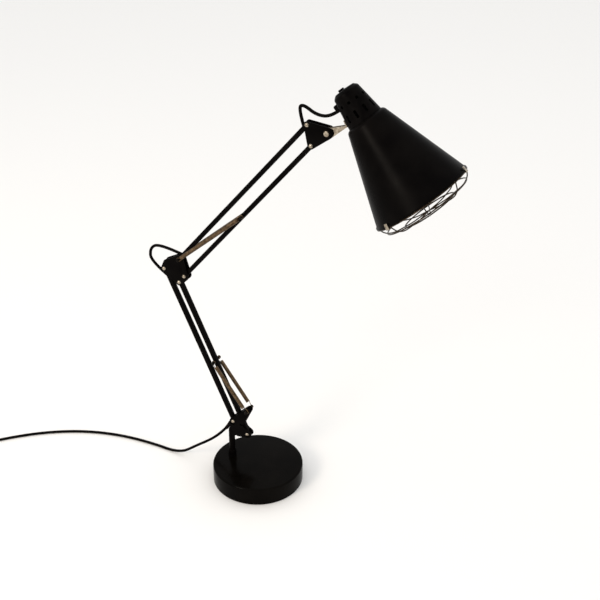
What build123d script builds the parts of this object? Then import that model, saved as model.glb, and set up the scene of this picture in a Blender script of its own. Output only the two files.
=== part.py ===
from build123d import *
from math import atan2, cos, hypot, pi, radians, sin, sqrt, tan
import os

os.makedirs("parts", exist_ok=True)

# Shared clearances
slip = 0.1  # round a turning pin, on the radius
seat_gap = 0.3  # between faces that slide past each other
over = 1.0  # how far a cut runs past its piece
small_sides = 12  # flats on small round pieces, which keep the mesh light

# Base, a spun drum on a soft pad
base_radius = 95.0
base_height = 40.0
base_wall = 1.5
base_edge_radius = 4.0
base_lift = 1.0  # the drum's lower edge above the table
pad_thickness = 2.5
pad_inset = 1.5  # between the pad and the drum's wall
weight_thickness = 26.0
weight_inset = 0.2

# Socket and pin that the foot turns on
post_inset = 35.0  # from the base's edge
collar_radius = 8.5
collar_height = 15.0
socket_depth = 32.0
socket_floor = 3.0
pin_radius = 6.5
pin_end_gap = 0.5
flat_bottom_rise = 47.0  # above the top of the base
pin_top_rise = 68.0
rivet_radius = 2.5
rivet_head_radius = 4.0
rivet_head_height = 1.2
low_rivet_rise = 54.0
high_rivet_rise = 65.0

# Cheeks, bars and their pivots
bar_side = 9.0
bar_wall = 1.2
bar_corner = 1.2
bar_overhang = 6.0
cheek_inner = 5.2  # from the arm plane to a cheek
cheek_thickness = 1.8
shank_radius = 2.0
bolt_head_radius = 4.0
bolt_head_height = 2.4
nut_flats = 7.0
nut_height = 3.0

# Foot: pivots and horn
foot_rear_x = 6.85  # from the post
foot_rear_rise = 92.06  # above the top of the base
foot_link_x = 32.18
foot_link_drop = 24.63
horn_x = 34.15  # from the rear pivot
horn_rise = 34.44
tab_x = -2.35
tab_drop = 39.0
tab_lobe = 5.5
rear_lobe = 8.0
front_lobe = 8.5
horn_lobe = 6.0
neck_x = 15.5
neck_drop = 1.0
waist_x = 15.5
waist_drop = 13.0
fill_x = 11.0
fill_drop = 27.0
fill_lobe = 8.0
grommet_radius = 5.2
grommet_length = 8.0

# Arms
lower_arm_length = 360.0
lower_arm_lean = 23.41  # degrees back from upright
upper_arm_length = 409.0
upper_arm_rise = 49.42  # degrees above level

# Elbow, from its rear pivot
low_pivot_x = 44.1
low_pivot_drop = 9.0
top_pivot_x = 36.0
top_pivot_rise = 28.0
elbow_rear_lobe = 6.5
elbow_back_lobe = 8.0
elbow_back_x = 7.2
elbow_back_rise = 13.1
elbow_top_lobe = 7.5
elbow_low_lobe = 10.0
elbow_front_lobe = 7.0

# Head, from its top pivot
tilt_x = 37.65
tilt_drop = 9.9
head_top_lobe = 6.2
head_low_lobe = 6.5
tilt_lobe = 11.0
tilt_bolt_radius = 3.0
tilt_head_radius = 5.0
tilt_head_height = 3.0
tilt_washer_radius = 7.0
tilt_washer_thickness = 1.2
tilt_nut_flats = 10.0
tilt_nut_height = 5.0

# Springs and the pins that carry them
spring_wire = 1.4
spring_coil_radius = 3.5
spring_turns = 5
spring_y = 12.2
spring_leg = 9.0
spring_bend = 4.0
spring_leg_side = 2.0
spring_pin_radius = 2.8
spring_pin_reach = 15.2
spring_pin_flange_radius = 3.6
spring_pin_flange = 1.2
lower_spring_reach = 177.0  # from the front pivot, up the front bar
upper_spring_reach = 201.0  # from the low pivot, up the low bar

# Shade, spun cone on its own axis
shade_dip = 49.72  # degrees below level
shade_back = 17.5  # from the tilt bolt to the shoulder, along the axis
shade_reach = 71.05  # from the tilt bolt to the axis
shoulder_radius = 36.6
mouth_radius = 91.7
shade_length = 164.4
shade_wall = 1.0
shoulder_fillet = 8.5
rim_width = 2.4
rim_depth = 2.4
neck_hole_radius = 20.2

# Cap over the lampholder
cap_foot_radius = 32.2
cap_top_radius = 24.2
cap_shoulder = 55.0
crown_radius = 18.0
crown_height = 60.5
cap_height = 62.0
cap_edge_radius = 5.0
cap_wall = 2.0
slot_count = 10
slot_width = 5.0
slot_start = 9.7
slot_end = 23.5
short_slot_start = 36.0
short_slot_end = 41.0
first_slot_angle = 12.0  # degrees from the near side
boss_radius = 7.0
boss_back = 41.0
boss_reach = 33.5
boss_bore_radius = 3.2

# Bracket between the tilt bolt and the cap
bracket_wall = 1.6
ear_inner = 3.2
ear_radius = 7.5
web_back = 8.0
web_half_width = 9.0
flange_height = 11.0
screw_head_radius = 2.8
screw_head_height = 1.6
screw_spread = 5.0

# Switch button
button_radius = 5.5
button_offset = 5.0
button_proud = 2.6
button_stem_radius = 3.0
button_travel = 2.5
collar_overlap = 2.0
button_collar_thickness = 1.5

# Lampholder
holder_radius = 16.0
holder_back = 46.0
holder_flange_radius = 24.0
holder_flange = 2.0
skirt_radius = 19.5
skirt_length = 24.0
socket_bore_radius = 13.9
socket_bore_depth = 30.0
shell_wall = 0.5
contact_radius = 4.0
contact_height = 2.0
ring_radius = 25.0
ring_height = 6.0

# Guard over the mouth
guard_wire = 2.4
guard_ring_shares = (0.883, 0.545)  # of the mouth radius
guard_depth_shares = (0.64, 0.94)  # of the guard's depth
guard_depth = 26.5
guard_spokes = 8
clip_radius = 3.5
clip_thickness = 2.0
clip_angles = (-4.0, 116.0, 236.0)

# Leads
lead = 6.0  # diameter
lead_slack = 0.3
run_share = 0.45  # of a run that a bend may use; a loop's outer runs have one bend and use twice
exit_step = 9.2  # up the top bar from its elbow pivot to the loop's end
rear_exit_step = 22.9
head_exit_step = 11.0
mains_drop = [(-1.5, 82), (-19, 57), (-47, 27), (-86, -2)]  # from the post and the base's top
mains_floor = [  # from the post, on the table
    (-130, 0), (-205, 8), (-285, 6), (-365, -12), (-440, -48), (-506, -98), (-563, -157),
]
elbow_loop = [  # from the elbow's rear pivot
    (9.08, -21.03), (-32.72, 6.47), (-33.32, 36.57), (-9.82, 49.07), (41.98, 34.97),
]
elbow_split_share = 0.45  # of the run after the second point, where the loop's halves meet
head_loop = [  # from the head's top pivot
    (-7.18, -8.46), (-18.38, 25.94), (-9.88, 33.94), (15.32, 17.94), (41.12, 18.44),
    (57.82, 32.64),
]
head_split_share = 0.5  # of the run after the third point
coil_lead_in = 24.0  # straight lead that runs on to the coil
coil_turn_shares = (4.5, 5.5, 6.5)  # radii of the turns, in lead diameters
coil_layers = 2
lead_total = 1800.0
tie_width = 8.0
tie_thickness = 0.8

# Plug
plug_length = 38.0
plug_width = 35.0
plug_thickness = 18.0
plug_nose = 26.0
plug_neck = 26.0
plug_neck_radius = 5.5
plug_pin_radius = 2.4
plug_pin_length = 19.0
plug_pin_spread = 9.5
plug_edge = 4.0
plug_stub = 24.0

# Places worked out from the sizes
turn = radians(upper_arm_rise)
lean = radians(lower_arm_lean)
dip = radians(shade_dip)
lower_along = (-sin(lean), cos(lean))
upper_along = (cos(turn), sin(turn))


def shifted(point, x, z):
    return (point[0] + x, point[1] + z)


def along(point, direction, distance):
    return (point[0] + direction[0] * distance, point[1] + direction[1] * distance)


def halves(route, count, share):
    """A loop's two halves, which meet a share of the way along the run after some points."""
    before, after = route[count - 1], route[count]
    middle = tuple(a + (b - a) * share for a, b in zip(before, after))
    return route[:count] + [middle], [middle] + route[count:]


post_x = post_inset - base_radius
foot_rear = (post_x + foot_rear_x, base_height + foot_rear_rise)
foot_front = shifted(foot_rear, foot_link_x, -foot_link_drop)
horn_tip = shifted(foot_rear, horn_x, horn_rise)
elbow_rear = along(foot_rear, lower_along, lower_arm_length)
elbow_front = shifted(elbow_rear, foot_link_x, -foot_link_drop)
elbow_low = shifted(elbow_rear, low_pivot_x, -low_pivot_drop)
elbow_top = shifted(elbow_rear, top_pivot_x, top_pivot_rise)
head_top = along(elbow_top, upper_along, upper_arm_length)
head_low = along(elbow_low, upper_along, upper_arm_length)
tilt = shifted(head_top, tilt_x, -tilt_drop)
elbow_route = [shifted(elbow_rear, x, z) for x, z in elbow_loop]
elbow_low_route, elbow_high_route = halves(elbow_route, 2, elbow_split_share)
head_route = [shifted(head_top, x, z) for x, z in head_loop]
head_low_route, head_high_route = halves(head_route, 3, head_split_share)
mains_route = [(post_x + x, 0, base_height + z) for x, z in mains_drop]
mains_route += [(post_x + x, y, lead / 2) for x, y in mains_floor]
lower_hook = along(foot_front, lower_along, lower_spring_reach)
upper_hook = along(elbow_low, upper_along, upper_spring_reach)

axis_along = (cos(dip), -sin(dip))
axis_across = (sin(dip), cos(dip))
shoulder = along(along(tilt, axis_along, shade_back), axis_across, shade_reach)
cheek_outer = cheek_inner + cheek_thickness


def across_plane(point, y):
    """A plane square to the pivots, facing the far side."""
    return Plane(origin=(point[0], y, point[1]), x_dir=(1, 0, 0), z_dir=(0, 1, 0))


def shade_plane(back):
    """A plane square to the shade's axis, facing the mouth, some way back from the shoulder."""
    place = along(shoulder, axis_along, -back)
    return Plane(
        origin=(place[0], 0, place[1]),
        x_dir=(axis_across[0], 0, axis_across[1]),
        z_dir=(axis_along[0], 0, axis_along[1]),
    )


# Local X runs across the shade's axis and local Y along it, towards the mouth
shade_section = Plane(
    origin=(shoulder[0], 0, shoulder[1]),
    x_dir=(axis_across[0], 0, axis_across[1]),
    z_dir=(0, 1, 0),
)
shade_axis = Axis((shoulder[0], 0, shoulder[1]), (axis_along[0], 0, axis_along[1]))


def add_rod(point, start, end, radius, mode=Mode.ADD):
    """A round rod along the pivots, from one y to another."""
    with BuildSketch(across_plane(point, start)) as section:
        RegularPolygon(radius, small_sides)
    extrude(section.sketch, amount=end - start, mode=mode)


def add_nut(point, start, height, flats):
    with BuildSketch(across_plane(point, start)) as section:
        RegularPolygon(flats / 2, 6, major_radius=False)
    extrude(section.sketch, amount=height)


def add_bolt(point, head_radius, head_height, radius, grip):
    """A bolt from the near side: a head outside the grip and a shank through it."""
    add_rod(point, -grip - head_height, -grip, head_radius)
    add_rod(point, -grip, grip, radius)


def cheek_plane(far):
    if far:
        return Plane.XZ.offset(-cheek_outer)
    return Plane.XZ.offset(cheek_inner)


def add_hull(*lobes):
    """A flat outline drawn tight round a set of circles."""
    with BuildLine() as circles:
        for centre, radius in lobes:
            CenterArc(centre, radius, 0, 360)
    make_hull(circles.edges())


def drill(points, radius):
    with Locations(*points):
        RegularPolygon(radius, small_sides, mode=Mode.SUBTRACT)


def foot_outline():
    tab = shifted(foot_rear, tab_x, -tab_drop)
    neck = shifted(foot_rear, neck_x, -neck_drop)
    waist = shifted(foot_rear, waist_x, -waist_drop)
    fill = shifted(foot_rear, fill_x, -fill_drop)
    add_hull((foot_rear, rear_lobe), (tab, tab_lobe))
    add_hull((foot_rear, rear_lobe), (waist, fill_lobe), (fill, fill_lobe), (foot_front, front_lobe))
    add_hull((foot_rear, rear_lobe), (neck, fill_lobe), (waist, fill_lobe))
    add_hull((foot_rear, rear_lobe), (neck, fill_lobe), (horn_tip, horn_lobe))
    drill([foot_rear, foot_front, horn_tip], shank_radius + slip)
    drill(rivets, rivet_radius)


def elbow_outline():
    back = shifted(elbow_rear, elbow_back_x, elbow_back_rise)
    add_hull(
        (elbow_rear, elbow_rear_lobe), (back, elbow_back_lobe), (elbow_top, elbow_top_lobe),
        (elbow_low, elbow_low_lobe), (elbow_front, elbow_front_lobe),
    )
    drill([elbow_rear, elbow_front, elbow_low], shank_radius + slip)
    drill([elbow_top], spring_pin_radius + slip)


def head_outline():
    add_hull((head_top, head_top_lobe), (head_low, head_low_lobe), (tilt, tilt_lobe))
    drill([head_top, head_low], shank_radius + slip)
    drill([tilt], tilt_bolt_radius + slip)


def add_bar(start, direction, length, start_hole, exits):
    """A square tube between two pivots, with pin holes and the holes that the lead leaves by."""
    foot = along(start, direction, -bar_overhang)
    end_plane = Plane(
        origin=(foot[0], 0, foot[1]), x_dir=(0, 1, 0), z_dir=(direction[0], 0, direction[1])
    )
    with BuildSketch(end_plane) as section:
        RectangleRounded(bar_side, bar_side, bar_corner)
        Rectangle(bar_side - 2 * bar_wall, bar_side - 2 * bar_wall, mode=Mode.SUBTRACT)
    extrude(section.sketch, amount=length + 2 * bar_overhang)
    add_rod(start, -bar_side / 2 - over, bar_side / 2 + over, start_hole + slip, Mode.SUBTRACT)
    end = along(start, direction, length)
    add_rod(end, -bar_side / 2 - over, bar_side / 2 + over, shank_radius + slip, Mode.SUBTRACT)
    for inner, outer in exits:
        aim = Vector(outer[0] - inner[0], 0, outer[1] - inner[1]).normalized()
        exit_plane = Plane(origin=(inner[0], 0, inner[1]), x_dir=(0, 1, 0), z_dir=aim)
        with BuildSketch(exit_plane) as hole:
            RegularPolygon(lead / 2 + lead_slack, small_sides)
        extrude(hole.sketch, amount=2 * bar_side, mode=Mode.SUBTRACT)


def corner_radii(points, end_share, name):
    """Fillet radii for a route: a share of the shorter run over the tangent of half the turn."""
    radii = []
    last = len(points) - 3
    for i, (before, here, after) in enumerate(zip(points, points[1:], points[2:])):
        arriving = Vector(*here) - Vector(*before)
        leaving = Vector(*after) - Vector(*here)
        half_turn = radians(arriving.get_angle(leaving)) / 2
        arriving_share = end_share if i == 0 else run_share
        leaving_share = end_share if i == last else run_share
        reach = min(arriving.length * arriving_share, leaving.length * leaving_share)
        radii.append(reach / tan(half_turn))
    print(name, "bend radii", [round(r, 1) for r in radii])
    return radii


def add_lead(route, end_share, name):
    """A lead swept along straight runs joined by tangent arcs."""
    points = [p if len(p) == 3 else (p[0], 0, p[1]) for p in route]
    with BuildLine() as path:
        FilletPolyline(*points, radius=corner_radii(points, end_share, name))
    wire = Wire(path.edges())
    with BuildSketch(Plane(origin=wire @ 0, z_dir=wire % 0)) as section:
        RegularPolygon(lead / 2, 8)
    sweep(section.sketch, path=wire, clean=False)
    print(name, "length", round(wire.length, 1), "section", round(section.sketch.area, 2))
    return wire.length * section.sketch.area


def biarc(start, start_dir, end, end_dir):
    """Two arcs that meet smoothly, from start along start_dir to end along end_dir."""
    chord = end - start
    both = start_dir + end_dir
    across = chord.dot(both)
    share = 2 * (1 - start_dir.dot(end_dir))
    if share < 1e-9:
        reach = chord.dot(chord) / (2 * across)
    else:
        reach = (sqrt(across * across + share * chord.dot(chord)) - across) / share
    middle = ((start + start_dir * reach) + (end - end_dir * reach)) * 0.5
    first = Edge.make_tangent_arc(start, start_dir, middle)
    return [first, Edge.make_tangent_arc(middle, first.tangent_at(1), end)]


def spring_path(start, end, side):
    """Centre line of a hooked spring between two pins, side -1 for the near one."""
    span = hypot(end[0] - start[0], end[1] - start[1])
    run = Vector(end[0] - start[0], 0, end[1] - start[1]).normalized()
    rise = Vector(-run.Z, 0, run.X)
    out = Vector(0, side, 0)
    base = Vector(start[0], side * spring_y, start[1])

    def place(x, y, z):
        return base + run * x + out * y + rise * z

    def aim(x, y, z):
        return (run * x + out * y + rise * z).normalized()

    r = spring_coil_radius
    helix_start = spring_leg + spring_bend
    helix_length = span - 2 * helix_start
    lead_in = helix_length / (spring_turns + 0.5) / (2 * pi)

    def helix(angle):
        a = radians(angle)
        point = place(helix_start + lead_in * (a + pi / 2), r * cos(a), r * sin(a))
        return point, aim(lead_in, -r * sin(a), r * cos(a))

    edges = []
    tip = place(r * cos(radians(20)), -spring_leg_side, r * sin(radians(20)))
    tip_dir = aim(-sin(radians(20)), 0, cos(radians(20)))
    edges.append(Edge.make_line(tip - tip_dir * spring_wire, tip))
    back = place(r * cos(radians(145)), -spring_leg_side, r * sin(radians(145)))
    first = Edge.make_tangent_arc(tip, tip_dir, back)
    bottom = place(0, -spring_leg_side, -r)
    edges += [first, Edge.make_tangent_arc(back, first.tangent_at(1), bottom)]
    leg_end = place(spring_leg, -spring_leg_side, -r)
    edges.append(Edge.make_line(bottom, leg_end))
    angle = -90
    point, direction = helix(angle)
    edges += biarc(leg_end, aim(1, 0, 0), point, direction)
    while angle < -90 + 360 * (spring_turns + 0.5) - 1:
        onward, onward_dir = helix(angle + 180)
        edges += biarc(point, direction, onward, onward_dir)
        point, direction, angle = onward, onward_dir, angle + 180
    leg_start = place(span - spring_leg, -spring_leg_side, r)
    edges += biarc(point, direction, leg_start, aim(1, 0, 0))
    top = place(span, -spring_leg_side, r)
    edges.append(Edge.make_line(leg_start, top))
    front = place(span + r * cos(radians(-35)), -spring_leg_side, r * sin(radians(-35)))
    turned = Edge.make_tangent_arc(top, aim(1, 0, 0), front)
    last = place(span + r * cos(radians(-160)), -spring_leg_side, r * sin(radians(-160)))
    edges += [turned, Edge.make_tangent_arc(front, turned.tangent_at(1), last)]
    last_dir = aim(sin(radians(-160)), 0, -cos(radians(-160)))
    edges.append(Edge.make_line(last, last + last_dir * spring_wire))
    return Wire(edges)


def least_gap(path, name):
    """Least distance between turns, less the wire, on points more than a quarter turn apart."""
    count = int(path.length / (spring_wire / 2))
    points = [path @ (i / count) for i in range(count + 1)]
    step = path.length / count
    apart = int(3 * spring_coil_radius / step)
    least = min(
        (points[i] - points[j]).length
        for i in range(count + 1)
        for j in range(i + apart, count + 1)
    )
    print(name, "least gap to itself", round(least - spring_wire, 2))


def add_spring(start, end, side, name):
    path = spring_path(start, end, side)
    least_gap(path, name)
    with BuildSketch(Plane(origin=path @ 0, z_dir=path % 0)) as section:
        RegularPolygon(spring_wire / 2, 4)
    sweep(section.sketch, path=path, clean=False)
    print(name, "length", round(path.length, 1), "section", round(section.sketch.area, 3))
    return path.length * section.sketch.area


# Base
socket_bottom = base_height - socket_depth

with BuildPart() as base_shell:
    with BuildSketch(Plane.XZ):
        with BuildLine():
            FilletPolyline(
                (0, base_lift), (base_radius, base_lift), (base_radius, base_height),
                (0, base_height), radius=[0, base_edge_radius],
            )
            Line((0, base_height), (0, base_lift))
        make_face()
        with Locations((0, base_lift - over)):
            Rectangle(
                base_radius - base_wall, base_height - base_wall - base_lift + over,
                align=(Align.MIN, Align.MIN), mode=Mode.SUBTRACT,
            )
    revolve(axis=Axis.Z)
    with BuildSketch(Plane.XY.offset(base_height + over)):
        with Locations((post_x, 0)):
            Circle(collar_radius - base_wall)
    extrude(amount=-base_wall - 2 * over, mode=Mode.SUBTRACT)
base_shell.part.label = "base_shell"
export_step(base_shell.part, "parts/base_shell.step")

with BuildPart() as base_weight:
    with BuildSketch(Plane.XY.offset(pad_thickness)):
        Circle(base_radius - base_wall - weight_inset)
        with Locations((post_x, 0)):
            Circle(collar_radius - base_wall, mode=Mode.SUBTRACT)
    extrude(amount=weight_thickness)
base_weight.part.label = "base_weight"
export_step(base_weight.part, "parts/base_weight.step")

with BuildPart() as base_pad:
    with BuildSketch():
        Circle(base_radius - base_wall - pad_inset)
    extrude(amount=pad_thickness)
base_pad.part.label = "base_pad"
export_step(base_pad.part, "parts/base_pad.step")

with BuildPart() as pin_socket:
    with BuildSketch(Plane.XY.offset(base_height)):
        with Locations((post_x, 0)):
            Circle(collar_radius)
    extrude(amount=collar_height)
    with BuildSketch(Plane.XY.offset(socket_bottom)):
        with Locations((post_x, 0)):
            Circle(collar_radius - base_wall)
    extrude(amount=socket_depth)
    with BuildSketch(Plane.XY.offset(socket_bottom + socket_floor)):
        with Locations((post_x, 0)):
            Circle(pin_radius + slip / 2)
    extrude(amount=socket_depth + collar_height, mode=Mode.SUBTRACT)
pin_socket.part.label = "pin_socket"
export_step(pin_socket.part, "parts/pin_socket.step")

# Foot
pin_bottom = socket_bottom + socket_floor + pin_end_gap
pin_top = base_height + pin_top_rise
rivets = [(post_x, base_height + low_rivet_rise), (post_x, base_height + high_rivet_rise)]

with BuildPart() as foot_pin:
    with BuildSketch(Plane.XY.offset(pin_bottom)):
        with Locations((post_x, 0)):
            Circle(pin_radius)
    extrude(amount=pin_top - pin_bottom)
    with BuildSketch(Plane.XY.offset(base_height + flat_bottom_rise)):
        for side in (-1, 1):
            with Locations((post_x, side * cheek_inner)):
                Rectangle(
                    2 * pin_radius + over, pin_radius,
                    align=(Align.CENTER, Align.MIN if side > 0 else Align.MAX),
                )
    extrude(amount=pin_top_rise, mode=Mode.SUBTRACT)
    for point in rivets:
        add_rod(point, -cheek_outer, cheek_outer, rivet_radius, Mode.SUBTRACT)
foot_pin.part.label = "foot_pin"
export_step(foot_pin.part, "parts/foot_pin.step")

with BuildPart() as foot_cheek_near:
    with BuildSketch(cheek_plane(False)):
        foot_outline()
    extrude(amount=cheek_thickness)
foot_cheek_near.part.label = "foot_cheek_near"
export_step(foot_cheek_near.part, "parts/foot_cheek_near.step")

with BuildPart() as foot_cheek_far:
    with BuildSketch(cheek_plane(True)):
        foot_outline()
    extrude(amount=cheek_thickness)
foot_cheek_far.part.label = "foot_cheek_far"
export_step(foot_cheek_far.part, "parts/foot_cheek_far.step")

with BuildPart() as foot_rivets:
    for point in rivets:
        add_rod(point, -cheek_outer, cheek_outer, rivet_radius)
        add_rod(point, -cheek_outer - rivet_head_height, -cheek_outer, rivet_head_radius)
        add_rod(point, cheek_outer, cheek_outer + rivet_head_height, rivet_head_radius)
foot_rivets.part.label = "foot_rivets"
export_step(foot_rivets.part, "parts/foot_rivets.step")

with BuildPart() as foot_bolts:
    for point in (foot_rear, foot_front):
        add_bolt(point, bolt_head_radius, bolt_head_height, shank_radius, cheek_outer)
foot_bolts.part.label = "foot_bolts"
export_step(foot_bolts.part, "parts/foot_bolts.step")

with BuildPart() as foot_nuts:
    for point in (foot_rear, foot_front):
        add_nut(point, cheek_outer, nut_height, nut_flats)
foot_nuts.part.label = "foot_nuts"
export_step(foot_nuts.part, "parts/foot_nuts.step")

with BuildPart() as horn_pins:
    for side in (-1, 1):
        add_rod(horn_tip, side * cheek_inner, side * cheek_outer, shank_radius + slip)
        add_rod(horn_tip, side * cheek_outer, side * spring_pin_reach, spring_pin_radius)
        add_rod(
            horn_tip, side * (spring_pin_reach - spring_pin_flange), side * spring_pin_reach,
            spring_pin_flange_radius,
        )
horn_pins.part.label = "horn_pins"
export_step(horn_pins.part, "parts/horn_pins.step")

exit_aim = Vector(mains_route[1]) - Vector(mains_route[0])
with BuildPart() as foot_grommet:
    with BuildSketch(Plane(origin=mains_route[0], x_dir=(0, 1, 0), z_dir=exit_aim)):
        Circle(grommet_radius)
        RegularPolygon(lead / 2, 8, mode=Mode.SUBTRACT)
    extrude(amount=grommet_length / 2, both=True)
foot_grommet.part.label = "foot_grommet"
export_step(foot_grommet.part, "parts/foot_grommet.step")

# Lower arm
with BuildPart() as lower_rear_bar:
    add_bar(
        foot_rear, lower_along, lower_arm_length, shank_radius,
        [(elbow_low_route[0], elbow_low_route[1])],
    )
lower_rear_bar.part.label = "lower_rear_bar"
export_step(lower_rear_bar.part, "parts/lower_rear_bar.step")

with BuildPart() as lower_front_bar:
    add_bar(foot_front, lower_along, lower_arm_length, shank_radius, [])
    add_rod(
        lower_hook, -bar_side / 2 - over, bar_side / 2 + over, spring_pin_radius, Mode.SUBTRACT
    )
lower_front_bar.part.label = "lower_front_bar"
export_step(lower_front_bar.part, "parts/lower_front_bar.step")


def add_spring_pin(point):
    """A cross pin that carries a spring on each side, with a flange at each end."""
    add_rod(point, -spring_pin_reach, spring_pin_reach, spring_pin_radius)
    for side in (-1, 1):
        add_rod(
            point, side * (spring_pin_reach - spring_pin_flange), side * spring_pin_reach,
            spring_pin_flange_radius,
        )


with BuildPart() as lower_spring_pin:
    add_spring_pin(lower_hook)
lower_spring_pin.part.label = "lower_spring_pin"
export_step(lower_spring_pin.part, "parts/lower_spring_pin.step")

with BuildPart() as lower_spring_near:
    expected = add_spring(horn_tip, lower_hook, -1, "lower_spring_near")
print("volume", round(lower_spring_near.part.volume, 1), "expected", round(expected, 1))
lower_spring_near.part.label = "lower_spring_near"
export_step(lower_spring_near.part, "parts/lower_spring_near.step")

with BuildPart() as lower_spring_far:
    expected = add_spring(horn_tip, lower_hook, 1, "lower_spring_far")
print("volume", round(lower_spring_far.part.volume, 1), "expected", round(expected, 1))
lower_spring_far.part.label = "lower_spring_far"
export_step(lower_spring_far.part, "parts/lower_spring_far.step")


def add_inner_lead(start, direction, first, last):
    """The straight lead inside a bar, between two distances from its lower pivot."""
    foot = along(start, direction, first)
    end_plane = Plane(
        origin=(foot[0], 0, foot[1]), x_dir=(0, 1, 0), z_dir=(direction[0], 0, direction[1])
    )
    with BuildSketch(end_plane) as section:
        RegularPolygon(lead / 2, 8)
    extrude(section.sketch, amount=last - first)


inner_lead_gap = 1.7
with BuildPart() as lower_lead:
    add_inner_lead(
        foot_rear, lower_along, shank_radius + inner_lead_gap,
        lower_arm_length - rear_exit_step - inner_lead_gap,
    )
lower_lead.part.label = "lower_lead"
export_step(lower_lead.part, "parts/lower_lead.step")

# Elbow
with BuildPart() as elbow_cheek_near:
    with BuildSketch(cheek_plane(False)):
        elbow_outline()
    extrude(amount=cheek_thickness)
elbow_cheek_near.part.label = "elbow_cheek_near"
export_step(elbow_cheek_near.part, "parts/elbow_cheek_near.step")

with BuildPart() as elbow_cheek_far:
    with BuildSketch(cheek_plane(True)):
        elbow_outline()
    extrude(amount=cheek_thickness)
elbow_cheek_far.part.label = "elbow_cheek_far"
export_step(elbow_cheek_far.part, "parts/elbow_cheek_far.step")

with BuildPart() as elbow_bolts:
    for point in (elbow_rear, elbow_front, elbow_low):
        add_bolt(point, bolt_head_radius, bolt_head_height, shank_radius, cheek_outer)
elbow_bolts.part.label = "elbow_bolts"
export_step(elbow_bolts.part, "parts/elbow_bolts.step")

with BuildPart() as elbow_nuts:
    for point in (elbow_rear, elbow_front, elbow_low):
        add_nut(point, cheek_outer, nut_height, nut_flats)
elbow_nuts.part.label = "elbow_nuts"
export_step(elbow_nuts.part, "parts/elbow_nuts.step")

with BuildPart() as elbow_spring_pin:
    add_spring_pin(elbow_top)
elbow_spring_pin.part.label = "elbow_spring_pin"
export_step(elbow_spring_pin.part, "parts/elbow_spring_pin.step")

with BuildPart() as elbow_lead_low:
    expected = add_lead(elbow_low_route, 2 * run_share, "elbow_lead_low")
print("volume", round(elbow_lead_low.part.volume, 1), "expected", round(expected, 1))
elbow_lead_low.part.label = "elbow_lead_low"
export_step(elbow_lead_low.part, "parts/elbow_lead_low.step")

with BuildPart() as elbow_lead_high:
    expected = add_lead(elbow_high_route, 2 * run_share, "elbow_lead_high")
print("volume", round(elbow_lead_high.part.volume, 1), "expected", round(expected, 1))
elbow_lead_high.part.label = "elbow_lead_high"
export_step(elbow_lead_high.part, "parts/elbow_lead_high.step")

# Upper arm
with BuildPart() as upper_top_bar:
    add_bar(
        elbow_top, upper_along, upper_arm_length, spring_pin_radius,
        [(elbow_high_route[-1], elbow_high_route[-2]), (head_low_route[0], head_low_route[1])],
    )
upper_top_bar.part.label = "upper_top_bar"
export_step(upper_top_bar.part, "parts/upper_top_bar.step")

with BuildPart() as upper_low_bar:
    add_bar(elbow_low, upper_along, upper_arm_length, shank_radius, [])
    add_rod(
        upper_hook, -bar_side / 2 - over, bar_side / 2 + over, spring_pin_radius, Mode.SUBTRACT
    )
upper_low_bar.part.label = "upper_low_bar"
export_step(upper_low_bar.part, "parts/upper_low_bar.step")

with BuildPart() as upper_spring_pin:
    add_spring_pin(upper_hook)
upper_spring_pin.part.label = "upper_spring_pin"
export_step(upper_spring_pin.part, "parts/upper_spring_pin.step")

with BuildPart() as upper_spring_near:
    expected = add_spring(elbow_top, upper_hook, -1, "upper_spring_near")
print("volume", round(upper_spring_near.part.volume, 1), "expected", round(expected, 1))
upper_spring_near.part.label = "upper_spring_near"
export_step(upper_spring_near.part, "parts/upper_spring_near.step")

with BuildPart() as upper_spring_far:
    expected = add_spring(elbow_top, upper_hook, 1, "upper_spring_far")
print("volume", round(upper_spring_far.part.volume, 1), "expected", round(expected, 1))
upper_spring_far.part.label = "upper_spring_far"
export_step(upper_spring_far.part, "parts/upper_spring_far.step")

lead_end_gap = 2.7
with BuildPart() as upper_lead:
    add_inner_lead(
        elbow_top, upper_along, exit_step + lead_end_gap,
        upper_arm_length - head_exit_step - lead_end_gap,
    )
upper_lead.part.label = "upper_lead"
export_step(upper_lead.part, "parts/upper_lead.step")

# Head
with BuildPart() as head_cheek_near:
    with BuildSketch(cheek_plane(False)):
        head_outline()
    extrude(amount=cheek_thickness)
head_cheek_near.part.label = "head_cheek_near"
export_step(head_cheek_near.part, "parts/head_cheek_near.step")

with BuildPart() as head_cheek_far:
    with BuildSketch(cheek_plane(True)):
        head_outline()
    extrude(amount=cheek_thickness)
head_cheek_far.part.label = "head_cheek_far"
export_step(head_cheek_far.part, "parts/head_cheek_far.step")

with BuildPart() as head_bolts:
    for point in (head_top, head_low):
        add_bolt(point, bolt_head_radius, bolt_head_height, shank_radius, cheek_outer)
head_bolts.part.label = "head_bolts"
export_step(head_bolts.part, "parts/head_bolts.step")

with BuildPart() as head_nuts:
    for point in (head_top, head_low):
        add_nut(point, cheek_outer, nut_height, nut_flats)
head_nuts.part.label = "head_nuts"
export_step(head_nuts.part, "parts/head_nuts.step")

washer_face = cheek_outer + tilt_washer_thickness
with BuildPart() as tilt_bolt:
    add_bolt(tilt, tilt_head_radius, tilt_head_height, tilt_bolt_radius, washer_face)
tilt_bolt.part.label = "tilt_bolt"
export_step(tilt_bolt.part, "parts/tilt_bolt.step")

with BuildPart() as tilt_nut:
    add_nut(tilt, washer_face, tilt_nut_height, tilt_nut_flats)
tilt_nut.part.label = "tilt_nut"
export_step(tilt_nut.part, "parts/tilt_nut.step")

with BuildPart() as tilt_washers:
    for side in (-1, 1):
        add_rod(tilt, side * cheek_outer, side * washer_face, tilt_washer_radius)
        add_rod(
            tilt, side * cheek_outer, side * washer_face, tilt_bolt_radius + slip, Mode.SUBTRACT
        )
tilt_washers.part.label = "tilt_washers"
export_step(tilt_washers.part, "parts/tilt_washers.step")

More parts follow.
